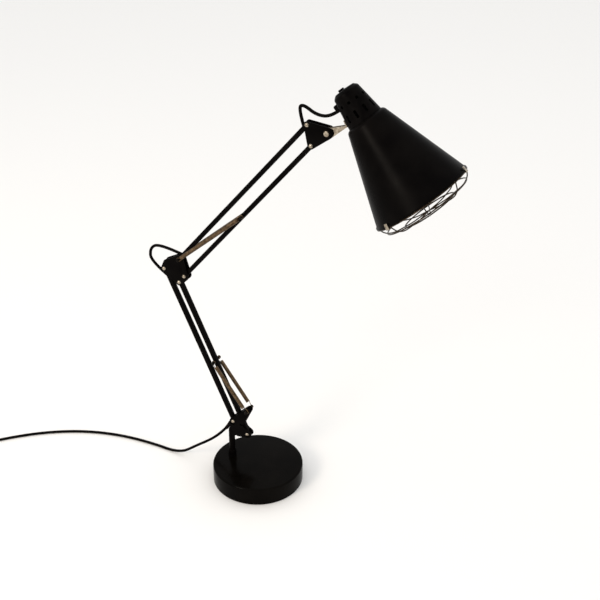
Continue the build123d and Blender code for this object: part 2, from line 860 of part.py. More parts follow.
with BuildPart() as head_lead_low:
    expected = add_lead(head_low_route, 2 * run_share, "head_lead_low")
print("volume", round(head_lead_low.part.volume, 1), "expected", round(expected, 1))
head_lead_low.part.label = "head_lead_low"
export_step(head_lead_low.part, "parts/head_lead_low.step")

with BuildPart() as head_lead_high:
    expected = add_lead(head_high_route, 2 * run_share, "head_lead_high")
print("volume", round(head_lead_high.part.volume, 1), "expected", round(expected, 1))
head_lead_high.part.label = "head_lead_high"
export_step(head_lead_high.part, "parts/head_lead_high.step")

# Shade
cone_slope = (mouth_radius - shoulder_radius) / shade_length
inner_offset = shade_wall * sqrt(1 + cone_slope * cone_slope)
inner_shoulder = shoulder_radius + cone_slope * shade_wall - inner_offset

with BuildPart() as shade:
    with BuildSketch(shade_section):
        with BuildLine():
            FilletPolyline(
                (neck_hole_radius, 0), (shoulder_radius, 0), (mouth_radius, shade_length),
                radius=[shoulder_fillet],
            )
            FilletPolyline(
                (neck_hole_radius, shade_wall), (inner_shoulder, shade_wall),
                (mouth_radius - inner_offset, shade_length),
                radius=[shoulder_fillet - shade_wall],
            )
            Line((neck_hole_radius, 0), (neck_hole_radius, shade_wall))
            Line((mouth_radius, shade_length), (mouth_radius - inner_offset, shade_length))
        make_face()
        with Locations((mouth_radius, shade_length - rim_depth / 2)):
            Rectangle(rim_width, rim_depth)
    revolve(axis=shade_axis)
shade.part.label = "shade"
export_step(shade.part, "parts/shade.step")

# Cap, with slots, a pad for the bracket and a boss for the lead
cap_slope = (cap_foot_radius - cap_top_radius) / cap_shoulder


def cap_radius(back):
    return cap_foot_radius - cap_slope * back


def cap_outline(inset, edge):
    """Half the cap's section, as a solid, drawn back from the shoulder."""
    with BuildLine() as outline:
        FilletPolyline(
            (0, over if inset else 0), (cap_foot_radius - inset, over if inset else 0),
            (cap_top_radius - inset, -cap_shoulder), (crown_radius - inset, inset - crown_height),
            (0, inset - cap_height), radius=[0, edge, 0],
        )
        Line((0, inset - cap_height), (0, over if inset else 0))
    make_face(outline.edges())


def slot_planes(start, end):
    """Planes on the cap's axis that face outward, one to a slot."""
    middle = shade_plane((start + end) / 2)
    planes = []
    for i in range(slot_count):
        angle = radians(90 - first_slot_angle + 360 * i / slot_count)
        outward = middle.x_dir * cos(angle) + middle.y_dir * sin(angle)
        if outward.dot(middle.x_dir) > -0.9:
            planes.append(Plane(origin=middle.origin, x_dir=middle.z_dir, z_dir=outward))
    return planes


def strip_outline(outer, inner, start, end):
    """A strip along the cap's wall on the bracket's side, between two offsets from it."""
    with BuildLine() as outline:
        Polyline(
            (-cap_radius(start) - outer, -start), (-cap_radius(end) - outer, -end),
            (-cap_radius(end) + inner, -end), (-cap_radius(start) + inner, -start),
            close=True,
        )
    make_face(outline.edges())


with BuildPart() as cap:
    with BuildSketch(shade_section):
        cap_outline(0, cap_edge_radius)
    revolve(axis=shade_axis)
    with BuildSketch(shade_plane(boss_back)):
        with Locations((-boss_reach / 2, 0)):
            Rectangle(boss_reach, 2 * boss_radius)
    extrude(amount=boss_radius, both=True)
    with BuildSketch(shade_section):
        strip_outline(0, 2 * cap_wall, web_back - bracket_wall, web_back + flange_height)
    extrude(amount=web_half_width, both=True)
    with BuildSketch(shade_section):
        cap_outline(cap_wall, cap_edge_radius - cap_wall)
    revolve(axis=shade_axis, mode=Mode.SUBTRACT)
    for start, end in ((slot_start, slot_end), (short_slot_start, short_slot_end)):
        with BuildSketch(*slot_planes(start, end)):
            Rectangle(end - start, slot_width)
        extrude(amount=cap_foot_radius + over, mode=Mode.SUBTRACT)
    lead_entry = Vector(head_high_route[-1][0], 0, head_high_route[-1][1])
    lead_aim = Vector(head_high_route[-2][0], 0, head_high_route[-2][1]) - lead_entry
    with BuildSketch(Plane(origin=lead_entry, x_dir=(0, 1, 0), z_dir=lead_aim)):
        RegularPolygon(boss_bore_radius, small_sides)
    extrude(amount=boss_reach, both=True, mode=Mode.SUBTRACT)
    with BuildSketch(shade_plane(cap_height + over)):
        with Locations((-button_offset, 0)):
            RegularPolygon(button_radius + slip, 2 * small_sides)
    extrude(amount=cap_height - crown_height + 2 * cap_wall + over, mode=Mode.SUBTRACT)
cap.part.label = "cap"
export_step(cap.part, "parts/cap.step")

# Bracket: two ears on the tilt bolt, a web between them and a flange on the cap's pad
ear_outer = ear_inner + bracket_wall
web_end = cap_radius(web_back - bracket_wall)
web_tip = along(along(tilt, axis_across, -ear_radius), axis_along, shade_back - web_back)
web_root = along(along(shoulder, axis_along, -web_back), axis_across, -cap_radius(web_back))

with BuildPart() as shade_bracket:
    with BuildSketch(shade_plane(web_back)):
        with Locations((-web_end, 0)):
            Rectangle(
                shade_reach + ear_radius - web_end, 2 * ear_outer,
                align=(Align.MAX, Align.CENTER),
            )
    extrude(amount=bracket_wall)
    for side in (-1, 1):
        with BuildSketch(Plane.XZ.offset(ear_inner if side < 0 else -ear_outer)):
            with BuildLine():
                CenterArc(tilt, ear_radius, 0, 360)
                CenterArc(along(web_tip, axis_across, bracket_wall / 2), bracket_wall / 2, 0, 360)
                CenterArc(along(web_root, axis_across, -bracket_wall), bracket_wall / 2, 0, 360)
            make_hull()
            with Locations(tilt):
                RegularPolygon(tilt_bolt_radius + slip, small_sides, mode=Mode.SUBTRACT)
        extrude(amount=bracket_wall)
    with BuildSketch(shade_section):
        strip_outline(bracket_wall, 0, web_back - bracket_wall, web_back + flange_height)
    extrude(amount=web_half_width, both=True)
shade_bracket.part.label = "shade_bracket"
export_step(shade_bracket.part, "parts/shade_bracket.step")

screw_back = web_back + flange_height * 0.55
wall_tilt = atan2(cap_slope, 1)
screw_middle = along(
    along(shoulder, axis_along, -screw_back), axis_across, -cap_radius(screw_back) - bracket_wall
)
screw_aim = (
    -axis_across[0] * cos(wall_tilt) - axis_along[0] * sin(wall_tilt),
    0,
    -axis_across[1] * cos(wall_tilt) - axis_along[1] * sin(wall_tilt),
)
with BuildPart() as bracket_screws:
    with BuildSketch(
        Plane(origin=(screw_middle[0], 0, screw_middle[1]), x_dir=(0, 1, 0), z_dir=screw_aim)
    ):
        with Locations((-screw_spread, 0), (screw_spread, 0)):
            RegularPolygon(screw_head_radius, 8)
    extrude(amount=screw_head_height)
bracket_screws.part.label = "bracket_screws"
export_step(bracket_screws.part, "parts/bracket_screws.step")

# Switch button
with BuildPart() as switch_button:
    with BuildSketch(shade_plane(cap_height + button_proud)):
        with Locations((-button_offset, 0)):
            RegularPolygon(button_radius, 2 * small_sides)
    extrude(amount=cap_height + button_proud - crown_height + 2 * cap_wall)
    with BuildSketch(shade_plane(crown_height - cap_wall - seat_gap)):
        with Locations((-button_offset, 0)):
            RegularPolygon(button_radius + collar_overlap, small_sides)
    extrude(amount=button_collar_thickness)
    with BuildSketch(shade_plane(crown_height - cap_wall - seat_gap)):
        with Locations((-button_offset, 0)):
            RegularPolygon(button_stem_radius, small_sides)
    extrude(
        amount=crown_height - cap_wall - 2 * seat_gap - holder_back - button_travel
    )
switch_button.part.label = "switch_button"
export_step(switch_button.part, "parts/switch_button.step")


def turned_profile(points):
    """A closed outline in the shade's section plane."""
    with BuildLine() as outline:
        Polyline(*points, close=True)
    make_face(outline.edges())


# Lampholder, open towards the mouth
bore_floor = skirt_length - socket_bore_depth
with BuildPart() as lampholder:
    with BuildSketch(shade_section):
        turned_profile([
            (0, -holder_back), (holder_radius, -holder_back), (holder_radius, -holder_flange),
            (holder_flange_radius, -holder_flange), (holder_flange_radius, 0), (skirt_radius, 0),
            (skirt_radius, skirt_length), (socket_bore_radius, skirt_length),
            (socket_bore_radius, bore_floor), (0, bore_floor),
        ])
    revolve(axis=shade_axis)
lampholder.part.label = "lampholder"
export_step(lampholder.part, "parts/lampholder.step")

with BuildPart() as holder_contacts:
    with BuildSketch(shade_section):
        shell_outer = socket_bore_radius - slip
        with Locations((shell_outer, bore_floor)):
            Rectangle(
                shell_wall, skirt_length - bore_floor - holder_flange,
                align=(Align.MAX, Align.MIN),
            )
        with Locations((0, bore_floor)):
            Rectangle(contact_radius, contact_height, align=(Align.MIN, Align.MIN))
    revolve(axis=shade_axis)
holder_contacts.part.label = "holder_contacts"
export_step(holder_contacts.part, "parts/holder_contacts.step")

with BuildPart() as holder_ring:
    with BuildSketch(shade_section):
        with Locations((skirt_radius + slip, shade_wall)):
            Rectangle(
                ring_radius - skirt_radius - slip, ring_height, align=(Align.MIN, Align.MIN)
            )
    revolve(axis=shade_axis)
holder_ring.part.label = "holder_ring"
export_step(holder_ring.part, "parts/holder_ring.step")

# Guard
guard_rim = shade_length + guard_wire / 2
ring_places = [(mouth_radius, guard_rim)] + [
    (mouth_radius * width_share, shade_length + guard_depth * depth_share)
    for width_share, depth_share in zip(guard_ring_shares, guard_depth_shares)
]
crown = (0, shade_length + guard_depth - guard_wire / 2)
spoke_points = ring_places + [crown] + [(-x, y) for x, y in reversed(ring_places)]

with BuildPart() as guard:
    with BuildSketch(shade_section):
        with Locations(*ring_places):
            RegularPolygon(guard_wire / 2, 4)
    revolve(axis=shade_axis)
    for i in range(guard_spokes // 2):
        angle = radians(360 * (i + 0.5) / guard_spokes)
        middle = shade_plane(0)
        spoke_dir = middle.x_dir * cos(angle) + middle.y_dir * sin(angle)
        spoke_plane = Plane(
            origin=middle.origin, x_dir=spoke_dir, z_dir=spoke_dir.cross(middle.z_dir)
        )
        with BuildSketch(spoke_plane):
            with BuildLine():
                Polyline(*spoke_points)
            trace(line_width=guard_wire * 0.8)
        extrude(amount=guard_wire * 0.4, both=True)
guard.part.label = "guard"
export_step(guard.part, "parts/guard.step")

with BuildPart() as guard_clips:
    with BuildSketch(shade_plane(-shade_length - guard_wire)):
        for angle in clip_angles:
            with Locations((mouth_radius * cos(radians(angle)), mouth_radius * sin(radians(angle)))):
                RegularPolygon(clip_radius, small_sides)
    extrude(amount=clip_thickness)
guard_clips.part.label = "guard_clips"
export_step(guard_clips.part, "parts/guard_clips.step")

# Mains lead, its coil and the plug
with BuildPart() as mains_lead:
    expected = add_lead(mains_route, run_share, "mains_lead")
print("volume", round(mains_lead.part.volume, 1), "expected", round(expected, 1))
mains_lead.part.label = "mains_lead"
export_step(mains_lead.part, "parts/mains_lead.step")

lead_end = Vector(*mains_route[-1])
lead_heading = (lead_end - Vector(*mains_route[-2])).normalized()
lead_left = Vector(0, 0, 1).cross(lead_heading)
turn_radii = [lead * share for share in coil_turn_shares]
coil_start = lead_end + lead_heading * coil_lead_in
coil_centre = coil_start + lead_left * turn_radii[-1]
coil_inner = turn_radii[0] - lead / 2
coil_outer = turn_radii[-1] + lead / 2
coil_height = coil_layers * lead
coil_section = Plane(
    origin=(coil_centre.X, coil_centre.Y, 0), x_dir=-lead_left, z_dir=-lead_heading
)
plug_height = coil_height - lead / 2
plug_start = Vector(coil_centre.X, coil_centre.Y, plug_height) + lead_heading * turn_radii[-1]
plug_heading = lead_left

with BuildPart() as lead_coil:
    with BuildSketch(coil_section):
        with BuildLine():
            Polyline(
                (coil_inner, lead / 4), (coil_inner + lead / 4, 0), (coil_outer - lead / 4, 0),
                (coil_outer, lead / 4), (coil_outer, coil_height - lead / 4),
                (coil_outer - lead / 4, coil_height), (coil_inner + lead / 4, coil_height),
                (coil_inner, coil_height - lead / 4), close=True,
            )
        make_face()
    revolve(axis=Axis((coil_centre.X, coil_centre.Y, 0), (0, 0, 1)))
    with BuildSketch(Plane(origin=lead_end, x_dir=(0, 0, 1), z_dir=lead_heading)):
        RegularPolygon(lead / 2, 8)
    extrude(amount=coil_lead_in)
    with BuildSketch(Plane(origin=plug_start, x_dir=(0, 0, 1), z_dir=plug_heading)):
        RegularPolygon(lead / 2, 8)
    extrude(amount=plug_stub)
    tie_plane = coil_section.offset(-tie_width / 2)
    with BuildSketch(tie_plane):
        with Locations(((coil_inner + coil_outer) / 2, 0)):
            Rectangle(
                coil_outer - coil_inner + 2 * tie_thickness, coil_height + tie_thickness,
                align=(Align.CENTER, Align.MIN),
            )
    extrude(amount=tie_width)
lead_coil.part.label = "lead_coil"
export_step(lead_coil.part, "parts/lead_coil.step")

neck_start = plug_start + plug_heading * plug_stub
body_start = neck_start + plug_heading * plug_neck
pin_start = body_start + plug_heading * plug_length

with BuildPart() as plug:
    with BuildSketch(Plane(origin=neck_start, x_dir=(0, 0, 1), z_dir=plug_heading)):
        RegularPolygon(lead / 2, 8)
    with BuildSketch(Plane(origin=body_start, x_dir=(0, 0, 1), z_dir=plug_heading)):
        RegularPolygon(plug_neck_radius, 8)
    loft()
    with BuildSketch(Plane(origin=body_start, x_dir=(0, 0, 1), z_dir=plug_heading)):
        RectangleRounded(plug_thickness, plug_nose, plug_edge)
    with BuildSketch(Plane(origin=pin_start, x_dir=(0, 0, 1), z_dir=plug_heading)):
        RectangleRounded(plug_thickness, plug_width, plug_edge)
    loft()
    with BuildSketch(Plane(origin=pin_start, x_dir=(0, 0, 1), z_dir=plug_heading)):
        with Locations((0, -plug_pin_spread), (0, plug_pin_spread)):
            RegularPolygon(plug_pin_radius, small_sides)
    extrude(amount=plug_pin_length)
plug.part.label = "plug"
export_step(plug.part, "parts/plug.step")

mains_length = expected / (2 * sqrt(2) * (lead / 2) * (lead / 2))
turns = (lead_total - mains_length - coil_lead_in - plug_stub) / (2 * pi * turn_radii[1])
print("free stretch", round(mains_length), "turns to put away", round(turns, 1))
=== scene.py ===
import logging
import math
from collections.abc import Callable
from dataclasses import dataclass
from enum import Enum
from typing import ClassVar

import bpy
from mathutils import Matrix, Vector


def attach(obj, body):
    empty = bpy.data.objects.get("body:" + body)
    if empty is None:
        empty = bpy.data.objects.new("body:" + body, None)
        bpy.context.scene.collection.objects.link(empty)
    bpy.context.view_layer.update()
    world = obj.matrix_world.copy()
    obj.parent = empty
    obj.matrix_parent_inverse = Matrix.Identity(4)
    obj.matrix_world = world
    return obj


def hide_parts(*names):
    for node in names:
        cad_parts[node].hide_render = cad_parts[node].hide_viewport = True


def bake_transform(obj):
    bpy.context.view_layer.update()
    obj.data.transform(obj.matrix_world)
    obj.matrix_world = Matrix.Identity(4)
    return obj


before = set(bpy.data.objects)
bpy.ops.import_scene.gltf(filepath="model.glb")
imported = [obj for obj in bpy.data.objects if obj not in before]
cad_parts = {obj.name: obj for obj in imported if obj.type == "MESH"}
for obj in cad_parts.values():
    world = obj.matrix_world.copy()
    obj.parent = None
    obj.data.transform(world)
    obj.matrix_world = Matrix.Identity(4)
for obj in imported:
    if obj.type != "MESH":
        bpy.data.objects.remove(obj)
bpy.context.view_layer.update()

LOG = logging.getLogger("desk_lamp")
MM = 0.001

Flat = tuple[float, float]
Triple = tuple[float, float, float]
Lobe = tuple[Flat, float]
Piece = bpy.types.Object
Tree = bpy.types.NodeTree
Socket = bpy.types.NodeSocket


class Side(Enum):
    """The two sides of the arm plane; the value is the direction of Y."""

    NEAR = -1
    FAR = 1


# Places in the arm plane, in millimetres, worked out as the source does


def shifted(point: Flat, x: float, z: float) -> Flat:
    """Moves a point of the arm plane."""
    return (point[0] + x, point[1] + z)


def along(point: Flat, direction: Flat, distance: float) -> Flat:
    """Moves a point of the arm plane along a direction."""
    return (point[0] + direction[0] * distance, point[1] + direction[1] * distance)


LEAN, RISE, DIP = math.radians(23.41), math.radians(49.42), math.radians(49.72)
LOWER_ALONG: Flat = (-math.sin(LEAN), math.cos(LEAN))
UPPER_ALONG: Flat = (math.cos(RISE), math.sin(RISE))
AXIS_ALONG: Flat = (math.cos(DIP), -math.sin(DIP))
AXIS_ACROSS: Flat = (math.sin(DIP), math.cos(DIP))
LINK: Flat = (32.18, -24.63)
LOWER_LENGTH, UPPER_LENGTH = 360.0, 409.0
POST_X, BASE_TOP = -60.0, 40.0
FOOT_REAR: Flat = (POST_X + 6.85, BASE_TOP + 92.06)
FOOT_FRONT = shifted(FOOT_REAR, *LINK)
HORN_TIP = shifted(FOOT_REAR, 34.15, 34.44)
ELBOW_REAR = along(FOOT_REAR, LOWER_ALONG, LOWER_LENGTH)
ELBOW_FRONT = shifted(ELBOW_REAR, *LINK)
ELBOW_LOW = shifted(ELBOW_REAR, 44.1, -9.0)
ELBOW_TOP = shifted(ELBOW_REAR, 36.0, 28.0)
HEAD_TOP = along(ELBOW_TOP, UPPER_ALONG, UPPER_LENGTH)
HEAD_LOW = along(ELBOW_LOW, UPPER_ALONG, UPPER_LENGTH)
TILT = shifted(HEAD_TOP, 37.65, -9.9)
SHOULDER = along(along(TILT, AXIS_ALONG, 17.5), AXIS_ACROSS, 71.05)
LOWER_HOOK = along(FOOT_FRONT, LOWER_ALONG, 177.0)
UPPER_HOOK = along(ELBOW_LOW, UPPER_ALONG, 201.0)

CHEEK_INNER, CHEEK_OUTER = 5.2, 7.0
WASHER_FACE = CHEEK_OUTER + 1.2
BOLT_HOLE, PIN_HOLE, TILT_HOLE = 2.1, 2.9, 3.1
PIN_RADIUS, FLANGE_RADIUS, PIN_FLANGE, PIN_REACH = 2.8, 3.6, 1.2, 15.2
SPRING_Y = 12.2
LEAD_RADIUS = 3.0

# The lead's routes in the arm plane: round the elbow, and from the top bar to the cap
ELBOW_LOOP = [shifted(ELBOW_REAR, x, z) for x, z in (
    (9.08, -21.03), (-32.72, 6.47), (-33.32, 36.57), (-9.82, 49.07), (41.98, 34.97),
)]
HEAD_LOOP = [shifted(HEAD_TOP, x, z) for x, z in (
    (-7.18, -8.46), (-18.38, 25.94), (-9.88, 33.94), (15.32, 17.94), (41.12, 18.44),
    (57.82, 32.64),
)]


def frame_at(origin: Vector, x_dir: Vector, z_dir: Vector) -> Matrix:
    """A placing matrix in metres from an origin in millimetres and two directions.

    Args:
        origin: The frame's origin, in millimetres.
        x_dir: What its X leans towards.
        z_dir: The direction of its Z.

    Returns:
        The placing matrix, in metres.
    """
    z_axis = z_dir.normalized()
    x_axis = (x_dir - z_axis * x_dir.dot(z_axis)).normalized()
    y_axis = z_axis.cross(x_axis)
    placed = Matrix((x_axis, y_axis, z_axis)).transposed().to_4x4()
    placed.translation = origin * MM
    return placed


def across_frame(point: Flat, y: float, side: Side) -> Matrix:
    """A frame on a pivot whose Z points out of one side of the lamp."""
    return frame_at(Vector((point[0], y, point[1])), Vector((1, 0, 0)), Vector((0, side.value, 0)))


def run_frame(point: Flat, direction: Flat) -> Matrix:
    """A frame whose Z runs along a bar and whose X is the lamp's Y.

    Args:
        point: Where the bar starts.
        direction: Where it runs.

    Returns:
        The placing matrix, in metres.
    """
    return frame_at(
        Vector((point[0], 0, point[1])), Vector((0, 1, 0)), Vector((direction[0], 0, direction[1]))
    )


def moved(x: float = 0.0, y: float = 0.0, z: float = 0.0) -> Matrix:
    """A shift in millimetres."""
    return Matrix.Translation((x * MM, y * MM, z * MM))


POST = moved(POST_X)
SHADE_FRAME = frame_at(
    Vector((SHOULDER[0], 0, SHOULDER[1])),
    Vector((AXIS_ACROSS[0], 0, AXIS_ACROSS[1])),
    Vector((AXIS_ALONG[0], 0, AXIS_ALONG[1])),
)


# Finishes


def linear(hex_colour: str) -> tuple[float, float, float, float]:
    """Turns an sRGB hex colour to linear values.

    Args:
        hex_colour: Six hex digits.

    Returns:
        Red, green, blue and alpha.
    """
    channels = [int(hex_colour[i:i + 2], 16) / 255 for i in (0, 2, 4)]
    curve = [c / 12.92 if c <= 0.04045 else ((c + 0.055) / 1.055) ** 2.4 for c in channels]
    return (curve[0], curve[1], curve[2], 1.0)


def add_node(tree: Tree, kind: str, inputs: dict, **settings: object) -> bpy.types.Node:
    """Adds a node with its settings, values and links.

    Args:
        tree: The material's node tree.
        kind: The node's type.
        inputs: Values or output sockets by input name or number.
        **settings: The node's own properties.

    Returns:
        The new node.
    """
    node = tree.nodes.new(kind)
    for key, value in settings.items():
        setattr(node, key, value)
    for key, value in inputs.items():
        if isinstance(value, bpy.types.NodeSocket):
            tree.links.new(value, node.inputs[key])
        else:
            node.inputs[key].default_value = value
    return node


@dataclass(frozen=True)
class Finish:
    """What every finish has: two tones in patches, a roughness that handling changes, a relief."""

    tone_mm: ClassVar[float]
    wear_mm: ClassVar[float]
    strength: ClassVar[float]
    spread: ClassVar[float]

    name: str
    slot: str
    colour: str
    roughness: float
    light: str
    grain_mm: float = 0.5
    depth_mm: float = 0.02

    def material(self) -> bpy.types.Material:
        """The finish's material, made once.

        Returns:
            The material.
        """
        made = bpy.data.materials.get(self.name)
        if made is None:
            made = bpy.data.materials.new(self.name)
            made.use_nodes = True
            tree = made.node_tree
            tree.nodes.clear()
            place = add_node(tree, "ShaderNodeTexCoord", {}).outputs["Object"]
            shader = self.shade(tree, place)
            add_node(tree, "ShaderNodeOutputMaterial", {"Surface": shader.outputs[0]})
        return made

    def shade(self, tree: Tree, place: Socket) -> bpy.types.Node:
        """Builds the shader round the finish's own relief and values.

        Args:
            tree: The material's node tree.
            place: The place on the object.

        Returns:
            The shader.
        """
        patch = add_node(tree, "ShaderNodeTexNoise", {
            "Vector": place, "Scale": 1 / (self.tone_mm * MM), "Detail": 3.0, "Roughness": 0.55,
        })
        ramp = add_node(tree, "ShaderNodeValToRGB", {"Fac": patch.outputs["Fac"]})
        dark_end, light_end = ramp.color_ramp.elements
        dark_end.position, light_end.position = 0.35, 0.68
        dark_end.color, light_end.color = linear(self.colour), linear(self.light)
        wear = add_node(tree, "ShaderNodeTexNoise", {
            "Vector": place, "Scale": 1 / (self.wear_mm * MM), "Detail": 4.0, "Roughness": 0.6,
        })
        drift = add_node(tree, "ShaderNodeMapRange", {
            "Value": wear.outputs["Fac"], "From Min": 0.3, "From Max": 0.7,
            "To Min": self.roughness - self.spread, "To Max": self.roughness + self.spread,
        })
        bump = add_node(tree, "ShaderNodeBump", {
            "Height": self.relief(tree, place), "Distance": self.depth_mm * MM,
            "Strength": self.strength,
        })
        return add_node(tree, "ShaderNodeBsdfPrincipled", {
            "Base Color": ramp.outputs["Color"], "Roughness": drift.outputs["Result"],
            "Normal": bump.outputs["Normal"], **self.values(),
        })

    def relief(self, tree: Tree, place: Socket) -> Socket:
        """The height of the surface; each finish has its own."""
        raise NotImplementedError

    def values(self) -> dict[str, float]:
        """The shader's constants."""
        raise NotImplementedError


@dataclass(frozen=True)
class StoveEnamel(Finish):
    """Stove enamel sprayed on steel: a dark ground under a skin with a faint orange peel."""

    tone_mm, wear_mm, strength, spread = 60.0, 35.0, 0.7, 0.05

    grain_mm: float = 1.6
    shine: float = 0.018
    coat: float = 0.0

    def relief(self, tree: Tree, place: Socket) -> Socket:
        """Soft noise for the peel, which ripples the reflections.

        Args:
            tree: The material's node tree.
            place: The place on the object.

        Returns:
            The height.
        """
        return add_node(tree, "ShaderNodeTexNoise", {
            "Vector": place, "Scale": 1 / (self.grain_mm * MM), "Detail": 2.0, "Roughness": 0.45,
        }).outputs["Fac"]

    def values(self) -> dict[str, float]:
        """A low shine, and a clear coat where the finish has one.

        Returns:
            Values by input name.
        """
        return {
            "Specular IOR Level": self.shine, "Coat Weight": self.coat, "Coat Roughness": 0.12,
        }


@dataclass(frozen=True)
class PlatedSteel(Finish):
    """Bright plating or bare wire: metal with drawing marks and a cloudy tarnish."""

    tone_mm, wear_mm, strength, spread = 5.0, 4.0, 0.5, 0.06

    depth_mm: float = 0.01

    def relief(self, tree: Tree, place: Socket) -> Socket:
        """Noise stretched to a grain, for the marks of the tool.

        Args:
            tree: The material's node tree.
            place: The place on the object.

        Returns:
            The height.
        """
        stretched = add_node(
            tree, "ShaderNodeMapping", {"Vector": place, "Scale": (1.0, 0.12, 1.0)}
        )
        return add_node(tree, "ShaderNodeTexNoise", {
            "Vector": stretched.outputs["Vector"], "Scale": 1 / (self.grain_mm * MM), "Detail": 2.0,
        }).outputs["Fac"]

    def values(self) -> dict[str, float]:
        """Bare metal."""
        return {"Metallic": 1.0}


@dataclass(frozen=True)
class MouldedPlastic(Finish):
    """Moulded plastic or rubber: a fine spark-eroded grain under a low shine."""

    tone_mm, wear_mm, strength, spread = 18.0, 14.0, 0.5, 0.05

    shine: float = 0.018

    def relief(self, tree: Tree, place: Socket) -> Socket:
        """Cells for the mould's grain.

        Args:
            tree: The material's node tree.
            place: The place on the object.

        Returns:
            The height.
        """
        return add_node(
            tree, "ShaderNodeTexVoronoi",
            {"Vector": place, "Scale": 1 / (self.grain_mm * MM)}, feature="SMOOTH_F1",
        ).outputs["Distance"]

    def values(self) -> dict[str, float]:
        """A low shine."""
        return {"Specular IOR Level": self.shine}


@dataclass(frozen=True)
class Rough(Finish):
    """Foam or raw iron: a dry, pitted surface with no shine."""

    tone_mm, wear_mm, strength, spread = 2.5, 9.0, 0.8, 0.04

    grain_mm: float = 0.9
    depth_mm: float = 0.3
    metal: float = 0.0

    def relief(self, tree: Tree, place: Socket) -> Socket:
        """Deep noise for the pits.

        Args:
            tree: The material's node tree.
            place: The place on the object.

        Returns:
            The height.
        """
        return add_node(tree, "ShaderNodeTexNoise", {
            "Vector": place, "Scale": 1 / (self.grain_mm * MM), "Detail": 6.0, "Roughness": 0.7,
        }).outputs["Fac"]

    def values(self) -> dict[str, float]:
        """How much of the surface is bare metal."""
        return {"Metallic": self.metal}


# Lacquer on the drum: deep black and glossy enough to mirror the post
LACQUER = StoveEnamel("Black lacquer on spun steel", "black_lacquer", "040302", 0.22, "0a0806",
                      1.8, 0.015, 0.02, 0.02)
# Enamel on the arms and shade: satin, with broad soft highlights
ENAMEL = StoveEnamel("Satin black stove enamel", "satin_black", "040303", 0.34, "0a0807")
# Reflector enamel: warm white, semi-gloss
REFLECTOR = StoveEnamel("White reflector enamel", "satin_black", "e9e4d8", 0.35, "f1ede3", 1.4,
                        0.02, 0.5)
# Zinc plating on turned bolts and nuts: dulled, a little cloudy
ZINC = PlatedSteel("Zinc plated turned steel", "zinc_steel", "7a6f60", 0.26, "b5ab9a")
# Blackened fasteners: dark grey metal that still glints
BLACKENED = PlatedSteel("Oil blackened steel", "black_steel", "0f0d0b", 0.36, "1c1814")
# Nickel plated spring wire, dulled to a tan
SPRING = PlatedSteel("Dulled nickel spring wire", "spring_steel", "493a2a", 0.38, "75614a", 0.3)
# Guard wire: nickel that has browned
GUARD = PlatedSteel("Browned nickel wire", "guard_nickel", "1f1812", 0.34, "43372a", 0.4)
# Shell of the lampholder: rolled brass
BRASS = PlatedSteel("Rolled brass", "brass", "a9853f", 0.3, "c8a45c", 0.4)
# Moulded cover, holder and plug: hard black plastic
PLASTIC = MouldedPlastic("Moulded black thermoset", "black_plastic", "040303", 0.34, "0b0908")
# Lead and its relief: soft PVC with a matt skin
PVC = MouldedPlastic("Extruded black PVC", "lead_pvc", "050404", 0.45, "0c0a09", 0.8, 0.02)
# Foam pad under the base
FOAM = Rough("Closed cell foam", "felt", "1a1918", 0.85, "2a2927", 0.8, 0.25)
# Ballast left as cast
IRON = Rough("Sand cast iron", "cast_iron", "2e2b28", 0.7, "45413c", 1.5, 0.4, 0.8)


# Working methods


def to_mode(mode: str) -> None:
    """Switches between object mode and edit mode."""
    bpy.ops.object.mode_set(mode=mode)


def clear_selection() -> None:
    """Leaves object mode with nothing selected."""
    active = bpy.context.view_layer.objects.active
    if active is not None and active.mode != "OBJECT":
        to_mode("OBJECT")
    bpy.ops.object.select_all(action="DESELECT")


def pick(piece: Piece) -> None:
    """Makes one piece the only selected and active one.

    Args:
        piece: The piece.
    """
    clear_selection()
    piece.select_set(True)
    bpy.context.view_layer.objects.active = piece


def edit(piece: Piece, mode: str = "VERT", action: str = "SELECT") -> None:
    """Opens a piece in edit mode with all or nothing of it selected.

    Args:
        piece: The piece.
        mode: VERT, EDGE or FACE.
        action: SELECT or DESELECT.
    """
    pick(piece)
    to_mode("EDIT")
    bpy.ops.mesh.select_mode(type=mode)
    bpy.ops.mesh.select_all(action=action)


def edit_where(piece: Piece, mode: str, test: Callable[..., bool]) -> None:
    """Opens a piece in edit mode with the faces or edges selected that pass a test.

    Args:
        piece: The piece.
        mode: EDGE or FACE.
        test: Says which to select.
    """
    edit(piece, mode, "DESELECT")
    to_mode("OBJECT")
    for item in piece.data.polygons if mode == "FACE" else piece.data.edges:
        item.select = test(item)
    to_mode("EDIT")


def runs_along(piece: Piece, axis: int) -> Callable[[bpy.types.MeshEdge], bool]:
    """A test for the edges of a piece that run along one of its axes.

    Args:
        piece: The piece.
        axis: 0, 1 or 2 for X, Y or Z.

    Returns:
        The test.
    """
    def test(line: bpy.types.MeshEdge) -> bool:
        """Whether an edge runs along the axis."""
        a, b = (piece.data.vertices[i].co for i in line.vertices)
        return abs((b - a).normalized()[axis]) > 0.9

    return test


def modify(piece: Piece, kind: str, **settings: object) -> None:
    """Adds a modifier and applies it.

    Args:
        piece: The piece.
        kind: The modifier's type.
        **settings: Its properties.
    """
    pick(piece)
    bpy.ops.object.modifier_add(type=kind)
    modifier = piece.modifiers[-1]
    for key, value in settings.items():
        setattr(modifier, key, value)
    bpy.ops.object.modifier_apply(modifier=modifier.name)


def combine(piece: Piece, tool: Piece, operation: str = "DIFFERENCE") -> None:
    """Cuts or joins one closed piece with another, which is used up."""
    modify(piece, "BOOLEAN", operation=operation, object=tool, solver="EXACT")
    bpy.data.objects.remove(tool, do_unlink=True)


